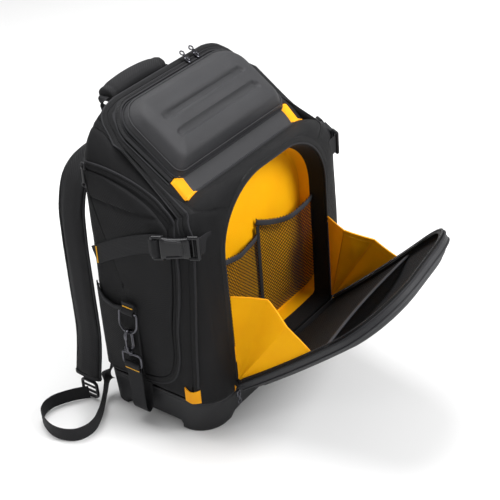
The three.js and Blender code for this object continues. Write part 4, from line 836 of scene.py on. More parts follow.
def strip(half_from, half_to, y_from, y_to, out, crown, count=(14, 40)):
    """A grid over the top between two places across and two depths, with a gentle crown."""
    u, v = np.linspace(0, 1, count[1])[None], np.linspace(0, 1, count[0])[:, None]
    edge = np.minimum(np.minimum(u, 1 - u) * (half_to - half_from) / 4, 1) * (16 * v * (1 - v) / 4)
    return on_top(mix(half_from, half_to, u), mix(y_from, y_to, v), out + crown * np.clip(edge, 0, 1))


strip_grid = strip(-126, 126, -71.0, -45.6, 2.7, 3.0, (22, 120))
strip_grid += normals(strip_grid) * (0.5 * ripple(strip_grid, 28, 8))[..., None]
hinge = piece("hinge_cloth", cloth(strip_grid, 1.6), moulded_cloth, ["hinge_strip"])
for side, sign in (("left", -1), ("right", 1)):
    low, high = sorted((sign * 122, sign * 143))
    tab_grid = strip(low, high, -72.5, -42.5, 4.4, 2.8, (20, 16))
    tab = piece(f"lid_tab_{side}", cloth(tab_grid, 1.4), yellow_tape, [f"strip_tab_{side}"])
    edge_rows = [tab_grid[2, 1:-1], tab_grid[-3, 1:-1]]
    piece(f"lid_tab_seam_{side}", [stitches(row, (0, 0, 1), 2.4, 1.2) for row in edge_rows], yellow_thread)
for y, name in ((-72.2, "front"), (-44.6, "back")):
    line = on_top(np.linspace(-128, 128, 60), y + 0 * np.linspace(0, 1, 60), 2.8)
    piece(f"hinge_piping_{name}", tube(line, 1.2), binding)
print("strip under the lid laid")

# %% [markdown]
# ## The door
# The door is one moulded sheet that leans out as it rises. Every point of it is given by how far it
# lies across, how far from the hinge and how far out, so its dome, edge, zip and pocket share one formula.

# %% door functions
door_open, door_lift, door_twist = np.radians([51.6, 7.3, 2.75])
door_drift = 15.0
door_reach = rim_top - rim_foot


def door_point(x, reach, out):
    """A point of the door. It turns open about the hinge and bends a little more as it rises."""
    x, reach, out = np.broadcast_arrays(*(np.asarray(a, float) for a in (x, reach, out)))
    start = door_open - door_twist * x / rim_half
    bend = -door_lift / door_reach
    angle = start + bend * reach
    return np.stack([
        x + door_drift * reach / door_reach,
        front_y - (np.cos(start) - np.cos(angle)) / bend - out * np.cos(angle),
        rim_foot + (np.sin(angle) - np.sin(start)) / bend - out * np.sin(angle),
    ], axis=-1)


def arch(half, foot, top, radius, corner, sides=30, corners=10, arc=26, across=30):
    """A closed arch outline: a flat foot, two straight sides and two round shoulders."""
    a = np.linspace(0, np.pi / 2, corners)
    b = np.linspace(0, np.pi / 2, arc)
    foot_x = np.linspace(0, half - corner, across)[:-1]
    side_z = np.linspace(foot + corner, top - radius, sides)[1:-1]
    top_x = np.linspace(half - radius, 0, across)[1:]
    x = np.concatenate([foot_x, half - corner + corner * np.sin(a), half + 0 * side_z,
                        half - radius + radius * np.cos(b), top_x])
    z = np.concatenate([foot + 0 * foot_x, foot + corner - corner * np.cos(a), side_z,
                        top - radius + radius * np.sin(b), top + 0 * top_x])
    return np.concatenate([x, -x[-2:0:-1]]), np.concatenate([z, z[-2:0:-1]])


def door_outline(inset):
    corner = np.clip(12 - inset * 0.2, 3, 12)
    radius = max(rim_round - inset, 6)
    return arch(rim_half - inset, 0.5 + inset, door_reach - inset, radius, corner)


def door_arch(inset, foot=10.0, count=110):
    """The door's outline without its foot: up one side, over the top and down the other."""
    half, top, radius = rim_half - inset, door_reach - inset, rim_round - inset
    a = np.linspace(np.pi, np.pi / 2, 30)
    x = np.concatenate([[-half, -half], -half + radius + radius * np.cos(a), [0]])
    z = np.concatenate([[foot, top - radius - 4], top - radius + radius * np.sin(a), [top]])
    x, z = np.concatenate([x, -x[-2::-1]]), np.concatenate([z, z[-2::-1]])
    path = spaced(np.stack([x, z, 0 * x], axis=1), 720.0 / count)
    return path[:, 0], path[:, 1]


print("door functions ready")


# %% [markdown]
# The door's rings run from the inside of its shell, over its edge and up its dome. Two ribs are added
# near the edge, and the lining is a second skin inside. A zip half is a tape with a row of teeth.

# %% door
dome = curve([  # inset, height, unused
    [0, 0.6, 0], [0.4, 6, 0], [1.2, 10.5, 0], [4, 13.6, 0], [8, 14.6, 0], [20, 21.5, 0], [44, 28.6, 0],
    [76, 32.4, 0], [108, 33.4, 0], [130, 34, 0],
], 80)[:, :2]


def door_ring(inset, out, rib=True):
    """One ring of the door. Two pressed ribs run round it, just inside its edge."""
    x, reach = door_outline(inset)
    ribs = 2.2 * np.exp(-((inset - 14) / 1.9) ** 2) + 1.8 * np.exp(-((inset - 23) / 1.9) ** 2) if rib else 0
    return door_point(x, reach, out + ribs)


door_rings = [door_ring(inset, out) for inset, out in dome]
door_inside = [(3.0, 0.6), (3.3, 8.0), (7.5, 11.4), (22, 18.0), (46, 25.4), (78, 29.2), (128, 30.6)]
inner_rings = [door_ring(inset, out, False) for inset, out in door_inside]
door = piece("door", loft(np.array(inner_rings[::-1] + door_rings)), moulded_cloth, ["front_door"])

lining_rows = [(3.4, 1.4), (3.8, 6.4), (6, 8.2), (20, 12.0), (46, 19.6), (78, 24.4), (118, 25.0), (129, 25.4)]
lining_rings = np.array([door_ring(inset, out - 0.6, False) for inset, out in lining_rows])
lining_rings += (0.9 * ripple(lining_rings, 42, 21))[..., None] * np.array([0, 0.5, 0.6])
backing = np.array([door_ring(inset, out + 0.8, False) for inset, out in lining_rows])
piece("door_lining", loft(np.concatenate([backing[::-1], lining_rings])), soft_cloth)


def door_band(name, inset, out, radius, material, foot=6.0):
    """A cord round the door, at a distance in from its edge."""
    x, reach = door_arch(inset, foot)
    return piece(name, tube(door_point(x, reach, out), radius, (1, 0.1, 0)), material)


door_band("door_piping", -0.4, 1.6, 1.8, binding)
door_band("door_welt", 1.2, 12.6, 1.3, moulded_cloth)


def zip_half(name, path, across, out, tape_wide, tape_thick, teeth_at, stands_for, pitch=2.8):
    """One half of a zip: a tape along a path and a row of teeth near one edge of it."""
    along, side, up = frames(path, across)
    tape = sweep(path, across, round_section(tape_wide, tape_thick, 12, 0.5))
    row = spaced(path + side * teeth_at + up * out, pitch)
    _, tooth_side, tooth_out = frames(row, across if np.ndim(across) == 1 else across[
        np.linspace(0, len(across) - 1, len(row)).round().astype(int)])
    tooth_along = np.cross(tooth_side, tooth_out)
    teeth = repeat(pebble(1.5, 4.2, 1.6), row, tooth_along, tooth_side, tooth_out)
    made = piece(name, tape, black_tape, stands_for)
    piece(f"{name}_teeth", teeth, plastic)
    return made


x, reach = door_arch(4.6, 11.0)
door_tape_path = door_point(x, reach, -1.8)
door_out = door_point(x, reach, 1) - door_point(x, reach, 0)
door_across = np.cross(unit(np.gradient(door_tape_path, axis=0)), door_out)
zip_half("door_tape", door_tape_path, door_across, -1.4, 9.4, 1.4, -3.6, ["door_zip"])
print(f"door of {len(door.data.vertices)} points")

# %% [markdown]
# The pocket is one fine net over the lower half of the door. It sags between its sewn sides, and a
# binding closes its mouth.

# %% the door's flat pocket
u, v = np.linspace(0, 1, 60)[None], np.linspace(0, 1, 50)[:, None]
half = rim_half - 5.0
flap_x = mix(-half, half, u)
flap_reach = mix(17.5, 198 - 7 * np.sin(np.pi * u), v)
flap_out = 5.4 + 2.2 * np.sin(np.pi * u) * np.sin(np.pi * v) - 3.0 * np.sin(np.pi * u) * v ** 3
flap = door_point(flap_x, flap_reach, flap_out)
flap += (0.8 * ripple(flap, 36, 5) * np.sin(np.pi * u) * smooth(v * 5))[..., None] * np.array([0, -0.6, 0.7])
pocket = piece("door_pocket_net", cloth(flap, 1.0), fine_net, ["door_pocket"])
mouth = door_point(flap_x[0], flap_reach[-1] - 3, 5.4 - 3.0 * np.sin(np.pi * u[0]))
mouth_band = sweep(mouth - [0, 0, -0.8], (0, -0.78, 0.62), round_section(9, 2.6, 12, 0.7))
piece("door_pocket_binding", mouth_band, grey_binding)
print("door pocket laid")

# %% [markdown]
# ## The front compartment
# A cloth cup hangs on the rim. Its walls are black near the rim and yellow near the back wall, so they
# are two bands cut from the same rings. The back wall is drawn by rings that shrink to its middle.

# %% cup
wall_y, cup_middle_z = -66.0, 234.0
cup_rows = [  # depth, inset
    (-117.4, 0), (-112, 0.2), (-104, 0.3), (-96, 0.4), (-88, 0.4), (-80, 0.3), (-73, 0.4), (-68, 1.0),
    (-66.5, 4),
]


def cup_ring(y, inset, scale=1.0):
    """The cup's outline at a depth. Its top falls a little towards the back wall."""
    t = (y - front_y) / 52
    x, z = arch(131 - inset, 80 + inset, mix(409, 388.5, t) - inset, 101 - inset, max(9.6 - inset, 2))
    return np.stack([x * scale, y + 0 * x, cup_middle_z + (z - cup_middle_z) * scale], axis=-1)


def ruffled(rings):
    """The rings with soft waves, the first ring left straight."""
    wave = 2.2 * ripple(rings, 48, 11)
    rings[1:] += (wave[..., None] * np.array([0.25, 0.8, 0.25]) - np.array([0, 0.8, 0]))[1:]
    return rings


scales = (0.93, 0.84, 0.72, 0.58, 0.42, 0.25, 0.08)
wall_rings = ruffled(np.array([cup_ring(y, 1.6 + inset) for y, inset in cup_rows]))
wall_back = np.array([cup_ring(y, 0) for y, _ in cup_rows])
for name, part, material, stands in (
    ("cup_wall", slice(0, 5), soft_cloth, ["front_pocket"]), ("cup_corner", slice(4, 9), yellow_cloth, []),
):
    back, face = wall_back[part], wall_rings[part]
    band = loft(np.concatenate([back[::-1], face, back[-1:]]), ends=False)
    piece(name, band, material, stands)
back_rings = ruffled(np.array([cup_ring(-67.4, 3.4)] + [cup_ring(-66.6, 4, scale) for scale in scales]))
behind = np.array([cup_ring(-65.2, 1.5, scale) for scale in (0.08, 0.4, 0.7, 0.93, 1.0)])
cup = piece("cup_lining", loft(np.concatenate([behind, back_rings])), yellow_cloth)
cup_seam = cup_ring(-68.6, 2.4)
piece("cup_seam", tube(cup_seam, 0.9, (0, 1, 0), closed=True), yellow_tape)
print(f"cup of {len(cup.data.vertices)} points")

# %% [markdown]
# Two nets with grey bindings are sewn to the cup's back wall. Each is one grid between two seams, which
# swells out from the wall and sags at its mouth. The table gives each net's sides, mouth and fullness.

# %% net pockets
nets = [  # side, x from, x to, mouth at both ends, sag, starts out by, ends out by, folds
    ("left", -128.8, 6.6, 286.3, 260.8, 5, 22, 1, 0.16), ("right", 7.4, 128.8, 286.3, 276.9, 14, 1, 22, 0.2),
]
for side, x_from, x_to, mouth_from, mouth_to, sag, start_out, end_out, folds in nets:
    u, v = np.linspace(0, 1, 90)[None], np.linspace(0, 1, 60)[:, None]
    top = mix(mouth_from, mouth_to, u) - sag * np.sin(np.pi * u)
    belly = np.sin(np.pi * u) ** 0.7 * (0.55 + 0.45 * np.sin(np.pi * np.minimum(v, 0.9)))
    fold = 1 + folds * np.cos(4 * np.pi * u)
    rise = np.sin(np.pi / 2 * np.clip(v / 0.25, 0, 1))
    out = (mix(start_out, end_out, u) + 9 * belly * fold) * rise + 1.6
    grid = np.stack([mix(x_from, x_to, u) + 0 * v, wall_y - 2.4 - out, mix(89.6, top, v)], axis=-1)
    grid[..., 1] -= 1.4 * ripple(grid, 26, 31) * np.sin(np.pi * u) * rise
    made = piece(f"net_{side}", cloth(grid, 0.7), net, [f"mesh_pocket_{side}"])
    flat = ((x_to - x_from) * MM * 1.1, (mouth_from - 96) * MM)
    mouth = grid[-2] - np.array([0, 0.4, 3.0])
    mouth_band = sweep(mouth, (0, -0.15, 1), round_section(10, 2.4, 12, 0.7))
    piece(f"net_binding_{side}", mouth_band, grey_binding)
seam = np.stack([7 + 0 * v[:, 0], -72.4 - 1.5 * v[:, 0], mix(92, 274, v[:, 0])], axis=-1)
piece("net_middle_binding", sweep(seam, (1, 0, 0), round_section(8, 2.0, 12, 0.7)), binding)
print("net pockets laid")

# %% [markdown]
# ## The gussets
# Each gusset is one flat piece of yellow cloth with two creases. It runs from the rim, inwards to a
# fold, back out to its hem corner and on to the door, and all four lines meet near the hinge.

# %% gussets
def gusset_corners(sign, share):
    """The four corner points of a gusset at a share of its reach: rim, fold, hem and door."""
    half = rim_half - 4
    seat = 3.8
    reach = mix(12.0, 163.0, share)
    rim = np.array([sign * half, front_y - seat, rim_foot + reach])
    door_end = door_point(sign * half, reach + 12 * share, -seat - 0.4)

    def between(part, inwards):
        p = mix(rim, door_end, part)
        angle = door_open * part
        rise = (1 - np.cos(door_open / 2)) * 163 * share
        y, z = p[1] - rise * np.sin(angle), p[2] + rise * np.cos(angle)
        return np.array([sign * (half - inwards * share), y, z])

    return np.array([rim, between(0.34, 24), between(0.66, 4), door_end])


for side, sign in (("left", -1), ("right", 1)):
    shares = np.linspace(0, 1, 40)
    corners = np.array([gusset_corners(sign, share) for share in shares])
    t = np.linspace(0, 1, 18)[:, None]
    runs = [mix(corners[:, k, None], corners[:, k + 1, None], t[None]) for k in range(3)]
    grid = np.concatenate([runs[0], runs[1][:, 1:], runs[2][:, 1:]], axis=1)
    place = np.concatenate([t[:, 0], t[1:, 0], t[1:, 0]])
    slack = np.sin(np.pi * place)[None] * (np.sin(np.pi * shares) + 0.35 * shares)[:, None]
    grid[..., 0] -= sign * slack * (2.6 + 1.7 * ripple(grid, 26, 13 + sign))
    made = piece(f"gusset_cloth_{side}", cloth(grid, sign * 1.5), yellow_cloth,
                 [f"gusset_{side}"], sharp=24)
    wide = np.linalg.norm(np.diff(corners[-1], axis=0), axis=1).sum() * MM
    piece(f"gusset_hem_{side}", tube(grid[-1], 1.5), yellow_tape)
    # A thin cord of the darker yellow tape lies along each crease: painted shade in the fold, not a sewn
    # part.
    crease_shade_cords = [tube(line - [sign * 0.4, 0, 0], 0.8) for line in (grid[:, 17], grid[:, 34])]
    piece(f"gusset_crease_shade_{side}", crease_shade_cords, yellow_tape)
    hem_row = grid[-3] - np.array([sign * 0.8, 0, 0])
    piece(f"gusset_stitch_{side}", stitches(hem_row, (-sign, 0, 0.4), 3, 1.6, 0.8), yellow_thread)
print("gussets folded")

# %% [markdown]
# The other half of the door's zip runs round the rim, on the same arch, with a piping outside it.

# %% rim zip
a = np.linspace(np.pi, np.pi / 2, 30)
x = np.concatenate([[-134, -134], -30 + 104 * np.cos(a), [0]])
z = np.concatenate([[86, 304], 308 + 104 * np.sin(a), [412]])
rim_path = spaced(np.stack([np.concatenate([x, -x[-2::-1]]), 0 * np.arange(2 * len(x) - 1) + front_y - 1.6,
                            np.concatenate([z, z[-2::-1]])], axis=1), 6.0)
rim_across = np.cross(unit(np.gradient(rim_path, axis=0)), [0, 1, 0])
zip_half("rim_tape", rim_path + rim_across * 3.2, rim_across, 1.2, 8.6, 1.6, 2.6, ["rim_zip"])
piece("rim_piping", tube(rim_path - rim_across * 2.2 + [0, 0.4, 0], 1.9), binding)
print("rim zip laid")

# %% [markdown]
# ## The main zip
# The bag unzips along the line where the two shells meet. Each side of the zip is a folded flap over the
# teeth, with a piping along it, so what shows is a dark slit between two soft ridges.

# %% main zip
def outward(grid, centre=(0, 0, 250)):
    """The grid's normals, turned away from a point inside it."""
    found = normals(grid)
    return found * np.sign(np.sum(found * (grid - np.array(centre)), axis=-1).mean())


def lined(path, out, name, parts):
    """Bands along a path on a surface. A part is its shift across, height, width, thickness and material."""
    across = np.cross(unit(np.gradient(path, axis=0)), out)
    for label, shift, height, wide, thick, material, stands_for in parts:
        section_ = round_section(wide, thick, 12, 0.6)
        made = sweep(path + across * shift + out * height, across, section_)
        piece(f"{name}_{label}", made, material, stands_for)


front_out = outward(front_grid)
high_enough = front_grid[-1, :, 2] > 96
main_line = front_grid[-1][high_enough]
main_out = front_out[-2][high_enough]
lined(main_line, main_out, "main_zip", [
    ("flap_front", -4.0, 1.9, 7.4, 2.4, body_cloth, ["main_zip"]),
    ("flap_back", 4.0, 1.9, 7.4, 2.4, body_cloth, []),
    ("slit", 0.0, 1.2, 2.4, 1.6, black_tape, []), ("piping_front", -8.4, 1.5, 3.0, 3.0, binding, []),
    ("piping_back", 8.4, 1.5, 3.0, 3.0, binding, []),
])


def side_grid(sign, y_from, y_to, z_from, z_to, out, count=(30, 30)):
    """A grid on one side between two depths and two heights, which may be arrays along the other way."""
    u, v = np.linspace(0, 1, count[1])[None], np.linspace(0, 1, count[0])[:, None]
    return on_side(mix(y_from, y_to, u) + 0 * v, mix(z_from, z_to, v) + 0 * u, out, sign)


u = np.linspace(0, 1, 26)[None]
for side, sign in (("left", -1), ("right", 1)):
    foot, hollow = 67.4 + 2.6 * np.abs(2 * u - 1), 94.5 - 5.5 * np.sin(np.pi * u)
    tab = side_grid(sign, -93.5, -69.5, foot, hollow, 2.6 + 0.9 * np.sin(np.pi * u), (20, 26))
    piece(f"zip_end_{side}", cloth(tab, sign * -1.8), yellow_tape, [f"zip_tab_{side}"])
    seams = [stitches(row, (sign, 0, 0), 2.2, 1.2, 0.7) for row in (tab[2, 2:-2], tab[-3, 2:-2])]
    piece(f"zip_end_seam_{side}", seams, yellow_thread)
    corners = np.array([[139, 68], [139, 83.5], [131.5, 74]])
    u2, v2 = np.meshgrid(np.linspace(0, 1, 8), np.linspace(0, 1, 8))
    foot = mix(corners[0], corners[1], u2[..., None])
    flat = mix(foot, corners[2], v2[..., None])
    rim_tab_y = -119.6 - 1.2 * np.sin(np.pi * u2) * (1 - v2)
    rim_tab = np.stack([sign * flat[..., 0], rim_tab_y, flat[..., 1]], axis=-1)
    piece(f"rim_end_{side}", plate(rim_tab, rim_tab + [0, 1.6, 0]), yellow_tape,
          [f"rim_tab_{side}"])
print("main zip laid")

# %% [markdown]
# The lid's zip follows a rounded frame on the skin. The frame is a line seen from above and is then laid
# on the top, so the band, its two pipings and the teeth all share it.

# %% lid zip
def frame_line(half, far, height, count=150):
    """A line on the skin round the lid's sides and back, seen from above as a rounded frame."""
    radius = 42 + half - lid_wide / 2
    a = np.linspace(np.pi, np.pi / 2, 24)
    x = np.concatenate([[-half], -half + radius + radius * np.cos(a), [0]])
    along = np.concatenate([[6], far - radius + radius * np.sin(a), [far]])
    x, along = np.concatenate([x, -x[-2::-1]]), np.concatenate([along, along[-2::-1]])
    flat = spaced(np.stack([x, along, 0 * x], axis=1), 560 / count)
    y = lid_point(flat[:, 0], flat[:, 1], 0 * flat[:, 0])[:, 1]
    return on_top(flat[:, 0], y, height)


for name, half, far, height, wide, thick, material, stands in (
    ("band", 140.4, 143.4, 3.7, 8.6, 4.0, black_tape, ["lid_zip"]),
    ("outer_piping", 146.0, 149.0, 2.6, 3.2, 3.2, binding, []),
    ("inner_piping", 136.4, 139.4, 5.2, 2.4, 2.4, binding, []),
):
    line = frame_line(half, far, height)
    lid_across = np.cross(unit(np.gradient(line, axis=0)), [0, -0.3, 0.95])
    made = sweep(line, lid_across, round_section(wide, thick, 12, 0.6))
    piece(f"lid_zip_{name}", made, material, stands)
line = spaced(frame_line(141.6, 144.6, 6.0), 2.8)
lid_way = unit(np.gradient(line, axis=0))
lid_across = unit(np.cross(lid_way, [0, -0.3, 0.95]))
lid_teeth = repeat(pebble(1.5, 4.0, 1.6), line, lid_way, lid_across, -np.cross(lid_across, lid_way))
piece("lid_zip_teeth", lid_teeth, plastic)
print("lid zip laid")

# %% [markdown]
# ## The sides
# A padded panel fills the loop of the side zip. A strap with a buckle crosses it, and an open pocket is
# sewn over its lower back corner. The panel's height grows quickly from its edge and then levels out.

# %% side zips and panels
zip_share = side_zip_line.T
zip_yz = curve(np.c_[front_y + zip_share[0] * bag_deep, zip_share[1] * bag_high, 0 * zip_share[0]], 150)
for side, sign in (("left", -1), ("right", 1)):
    path = on_side(zip_yz[:, 0], zip_yz[:, 1], 0.0, sign)
    above, below = (on_side(zip_yz[:, 0], zip_yz[:, 1] + step, 0.0, sign) for step in (4.0, -4.0))
    around = above - below
    out = np.cross(unit(around), [0, 1, 0]) * -sign
    out *= np.sign(out[:, :1]) * sign
    lined(path, out, f"side_zip_{side}", [
        ("tape", 0.0, 2.0, 8.6, 2.4, black_tape, [f"side_zip_{side}"]),
        ("edge", sign * 4.6, 2.4, 3.4, 3.4, binding, []),
        ("flap", sign * -3.4, 3.1, 5.0, 2.0, body_cloth, []),
    ])
    shrink = np.linspace(0, 1, 40)[:, None]
    bottom = np.concatenate([zip_yz, np.linspace(zip_yz[-1], zip_yz[0], 40)[1:]])
    y_edge, z_edge = bottom[:, 0], bottom[:, 1]
    centre_y, centre_z = 28.0, 250.0
    inset_ = 7.0 / np.hypot(y_edge - centre_y, z_edge - centre_z)
    share = mix(inset_, 1.0, shrink ** 1.5)
    y, z = mix(y_edge, centre_y, share), mix(z_edge, centre_z, share)
    near = np.minimum(shrink * 30, 1)
    crease = np.exp(-((z - 382 - 0.06 * (y - 10)) / 2.6) ** 2) * smooth((85 - y) / 20)
    low_crease = np.exp(-((z - 128 - 0.1 * (y - 10)) / 3.0) ** 2) * 0.3
    grid = on_side(y, z, 0.0, sign)
    height = 1.2 + 4.6 * np.sqrt(near) + 3.0 * smooth(shrink * 2.2) - 2.2 * crease - low_crease
    height = height + (1.2 * ripple(grid, 42, 17) + 0.5 * ripple(grid, 15, 18)) * near
    grid[..., 0] += sign * height
    panel = piece(f"side_pad_{side}", plate(grid, on_side(y, z, 0.6, sign)), panel_cloth,
                  [f"side_panel_{side}"])
print("sides padded")

# %% [markdown]
# A side pocket is one stretched grid that stands off the panel in its middle. Its mouth is a little
# higher at the back, and bindings cover its mouth and its two sides.

# %% side pockets
mouth_rise = np.array([[0, 0.03], [0.5, 0], [0.78, 0.03], [1, 0.12]])  # across, rise
for side, sign in (("left", -1), ("right", 1)):
    u, v = np.linspace(0, 1, 60)[None], np.linspace(0, 1, 50)[:, None]
    rise = np.interp(u, *mouth_rise.T)
    stand = np.sin(np.pi * u) ** 0.6
    y, z = mix(6.2, 83.0, u) + 0 * v, mix(86.3, 214 * (1 + rise), v)
    out = 8.0 + 7 * stand * np.sin(np.pi / 2 * np.clip(v * 1.6, 0, 1))
    grid = on_side(y, z, out, sign)
    grid[..., 0] += sign * 0.8 * ripple(grid, 30, 41) * np.sin(np.pi * u)
    made = piece(f"pocket_cloth_{side}", cloth(grid, sign * -2.0), panel_cloth,
                 [f"side_pocket_{side}"])
    mouth = grid[-2] + np.array([sign * 0.6, 0, -3.0])
    mouth_band = sweep(mouth, (sign * 0.1, 0, 1), round_section(9, 3.2, 12, 0.7))
    piece(f"pocket_binding_{side}", mouth_band, binding)
    edges = [grid[2:-3, 1] + [sign * 0.8, 0, 0], grid[2:-3, -2] + [sign * 0.8, 0, 0]]
    piece(f"pocket_edges_{side}", [tube(edge, 1.6) for edge in edges], binding)
print("side pockets laid")

# %% [markdown]
# ## Straps and buckles
# A strap is a flat ribbed band. The side release buckle is a rounded body with a waist, a plug whose two
# prongs show in the side windows, and a ladder bar at each end that holds the strap.

# %% compression straps
strap_section = round_section(30, 1.9, 14, 0.45)
strap_z, buckle_turn, buckle_y = 0.695 * bag_high, np.radians(28), corner_y - 12.0
buckle_x = skin_x(np.array(buckle_y), np.array(strap_z)) + 4.7 + 5.5 / np.cos(buckle_turn)
slot_step = 29 * np.cos(buckle_turn)


def on_buckle(sign, along, out, z):
    """Points of a buckle: along it towards the back, out of it, and over its middle."""
    along, out, z = np.broadcast_arrays(*(np.asarray(a, float) for a in (along, out, z)))
    x = buckle_x + along * np.sin(buckle_turn) + out * np.cos(buckle_turn)
    y = buckle_y + along * np.cos(buckle_turn) - out * np.sin(buckle_turn)
    return np.stack([sign * x, y, strap_z + z], axis=-1)


for side, sign in (("left", -1), ("right", 1)):
    t = np.linspace(0, 1, 70)
    y = mix(79.0, buckle_y + slot_step - 6, t)
    z = strap_z - 0.125 * bag_high * (1 - t) ** 1.4
    path = on_side(y, z, 0.0, sign)
    lean = unit(on_side(y, z + 17, 0.0, sign) - on_side(y, z - 17, 0.0, sign))
    path[:, 0] += sign * (8.6 + 1.6 * np.sin(np.pi * t) + 4.0 * t ** 5)
    into = on_buckle(sign, np.array([27, 29, 31.0]), np.array([-3.4, 0.5, 1.8]), 0.0)
    loop = np.concatenate([path, into[:2]])
    turn = np.concatenate([lean, np.tile([[0, 0, 1.0]], (2, 1))])
    strap = sweep(*route(loop, turn, 110), strap_section)
    under = on_buckle(sign, np.array([24, 28, 33, 36, 39.0]), np.array([0.6, 3.2, 3.0, 0.4, -3.2]), 0.0)
    over = sweep(curve(under, 30), (0, 0, 1), round_section(29, 1.7, 14, 0.45))
    piece(f"strap_{side}", [strap, over], webbing, [f"side_strap_{side}"])
    tack = path[3] + lean[3] * np.linspace(-13.5, 13.5, 24)[:, None] + [sign * 1.3, 0, 0]
    piece(f"strap_tack_{side}", stitches(tack, (sign, 0, 0), 1.3, 0.2, 2.4), yellow_thread)
    lead = on_buckle(sign, np.array([-28, -31, -34.0]), np.array([1.0, -1.5, -5.0]), 0.0)
    end = on_side(front_y + np.array([5.0, 3.0]), np.full(2, strap_z), np.array([4.6, 4.2]), sign)
    short_end = sweep(curve(np.concatenate([lead, end]), 30), (0, 0, 1), strap_section)
    piece(f"strap_end_{side}", short_end, webbing, [f"buckle_strap_{side}"])
print("compression straps laid")

# %% [markdown]
# The buckle's body is a loft of boxy rings with a waist. Bars with round ends make its frame and the
# slots for the strap, since bars keep the open windows that a solid block would close.

# %% buckles
for side, sign in (("left", -1), ("right", 1)):
    def bar(start, end, size):
        """One round bar of the buckle between two places of it: along, out and up."""
        path = np.linspace(on_buckle(sign, *start), on_buckle(sign, *end), 8)
        return tube(path, size / 2, (sign, 0.1, 0.1), count=10)

    t = np.linspace(0, 1, 34)
    along = mix(-21.0, 22.0, t)
    wide = 31 + 4.5 * np.abs(2 * t - 1) ** 2 - 5 * (t < 0.04) - 3 * (t > 0.97)
    ridge, notch = np.exp(-((t - 0.32) / 0.06) ** 2), np.exp(-((t - 0.25) / 0.03) ** 2)
    thick = 9.0 - 1.8 * (t < 0.04) - 1.8 * (t > 0.97) + 1.2 * ridge - 1.6 * notch
    rings = np.array([on_buckle(sign, a, s[:, 1], s[:, 0]) for a, s in (
        (a, round_section(w, k, 28, 0.45)) for a, w, k in zip(along, wide, thick))])
    body = [loft(rings)]
    for end in (-1, 1):
        body += [bar((33 * end, 0, -17.5), (33 * end, 0, 17.5), 5.4)]
        body += [bar((25 * end, -1.6, -17), (25 * end, -1.6, 17), 3.6)]
        body += [bar((19 * end, 0, k * 17.4), (33 * end, 0, k * 17.4), 5.2) for k in (-1, 1)]
    for k in (-1, 1):
        prong = np.linspace(on_buckle(sign, -9, 4.3, k * 11.8), on_buckle(sign, 14, 4.3, k * 14), 10)
        body += [sweep(prong, (0, 0, 1), round_section(3.8, 2.6, 10, 0.7))]
    body += [bar((2.6 * k - 16, 4.4, -7), (2.6 * k - 16, 4.4, 7), 1.2) for k in range(3)]
    piece(f"buckle_body_{side}", body, plastic, [f"buckle_{side}"])
print("buckles fastened")

# %% [markdown]
# ## The hanging loop
# A dark ring hangs in a tab at the side pocket's mouth. A snap hook hangs in the ring, and a strap loop
# runs from the hook's eye down to the bag's foot.

# %% ring, hook and strap
hook_y, tab_x, ring_x, hook_x = 15.0, -206.46, -209.46, -214.46
ring_top, hook_top = 211.0, 174.1
gate_foot, gate_tip, eye_top, eye_low = 154.1, 169.1, 137.1, 117.1
tab_rows = np.array([
    [tab_x + 0.9, ring_top + 16], [tab_x + 0.7, ring_top + 4], [ring_x + 2.9, ring_top],
    [ring_x + 2, ring_top - 2.1], [ring_x, ring_top - 2.9], [ring_x - 2, ring_top - 2.1],
    [ring_x - 2.9, ring_top], [ring_x - 2.2, ring_top + 3],
    [tab_x - 1.1, ring_top + 7], [tab_x - 1, ring_top + 16],
])
tab_path = curve(np.c_[tab_rows[:, 0], np.full(10, hook_y), tab_rows[:, 1]], 50)
tab_band = sweep(tab_path, (0, 1, 0), round_section(24, 1.4, 12, 0.5))
piece("ring_loop", tab_band, webbing, ["ring_tab"])
tack = np.linspace([tab_x - 2.0, hook_y - 9, ring_top + 9], [tab_x - 2.0, hook_y + 9, ring_top + 9], 12)
piece("ring_loop_tack", stitches(tack, (-1, 0, 0), 1.4, 0.3, 1.8), yellow_thread)

a = np.linspace(0, np.pi, 24)
half = 17.3
bow_y = np.concatenate([[-half + 2, 0, half - 2, half - 0.6, half], half * np.cos(a), [-half, -half + 0.6]])
drop = np.concatenate([[0, 0, 0, 0.8, 3], 34 - half + half * np.sin(a), [3, 0.8]])
ring_path = np.c_[mix(ring_x, hook_x, drop / 34), hook_y + bow_y, ring_top - drop]
ring_wire = tube(ring_path, 1.7, (1, 0, 0.15), closed=True, count=12)
piece("ring_wire", ring_wire, black_metal, ["d_ring"])


def arc(cz, start, end, count):
    """Points of an arc of the hook's own radius, in the plane across the hook."""
    a = np.radians(np.linspace(start, end, count))
    return np.c_[hook_x + 7 * np.cos(a), np.full(count, hook_y), cz + 7 * np.sin(a)]


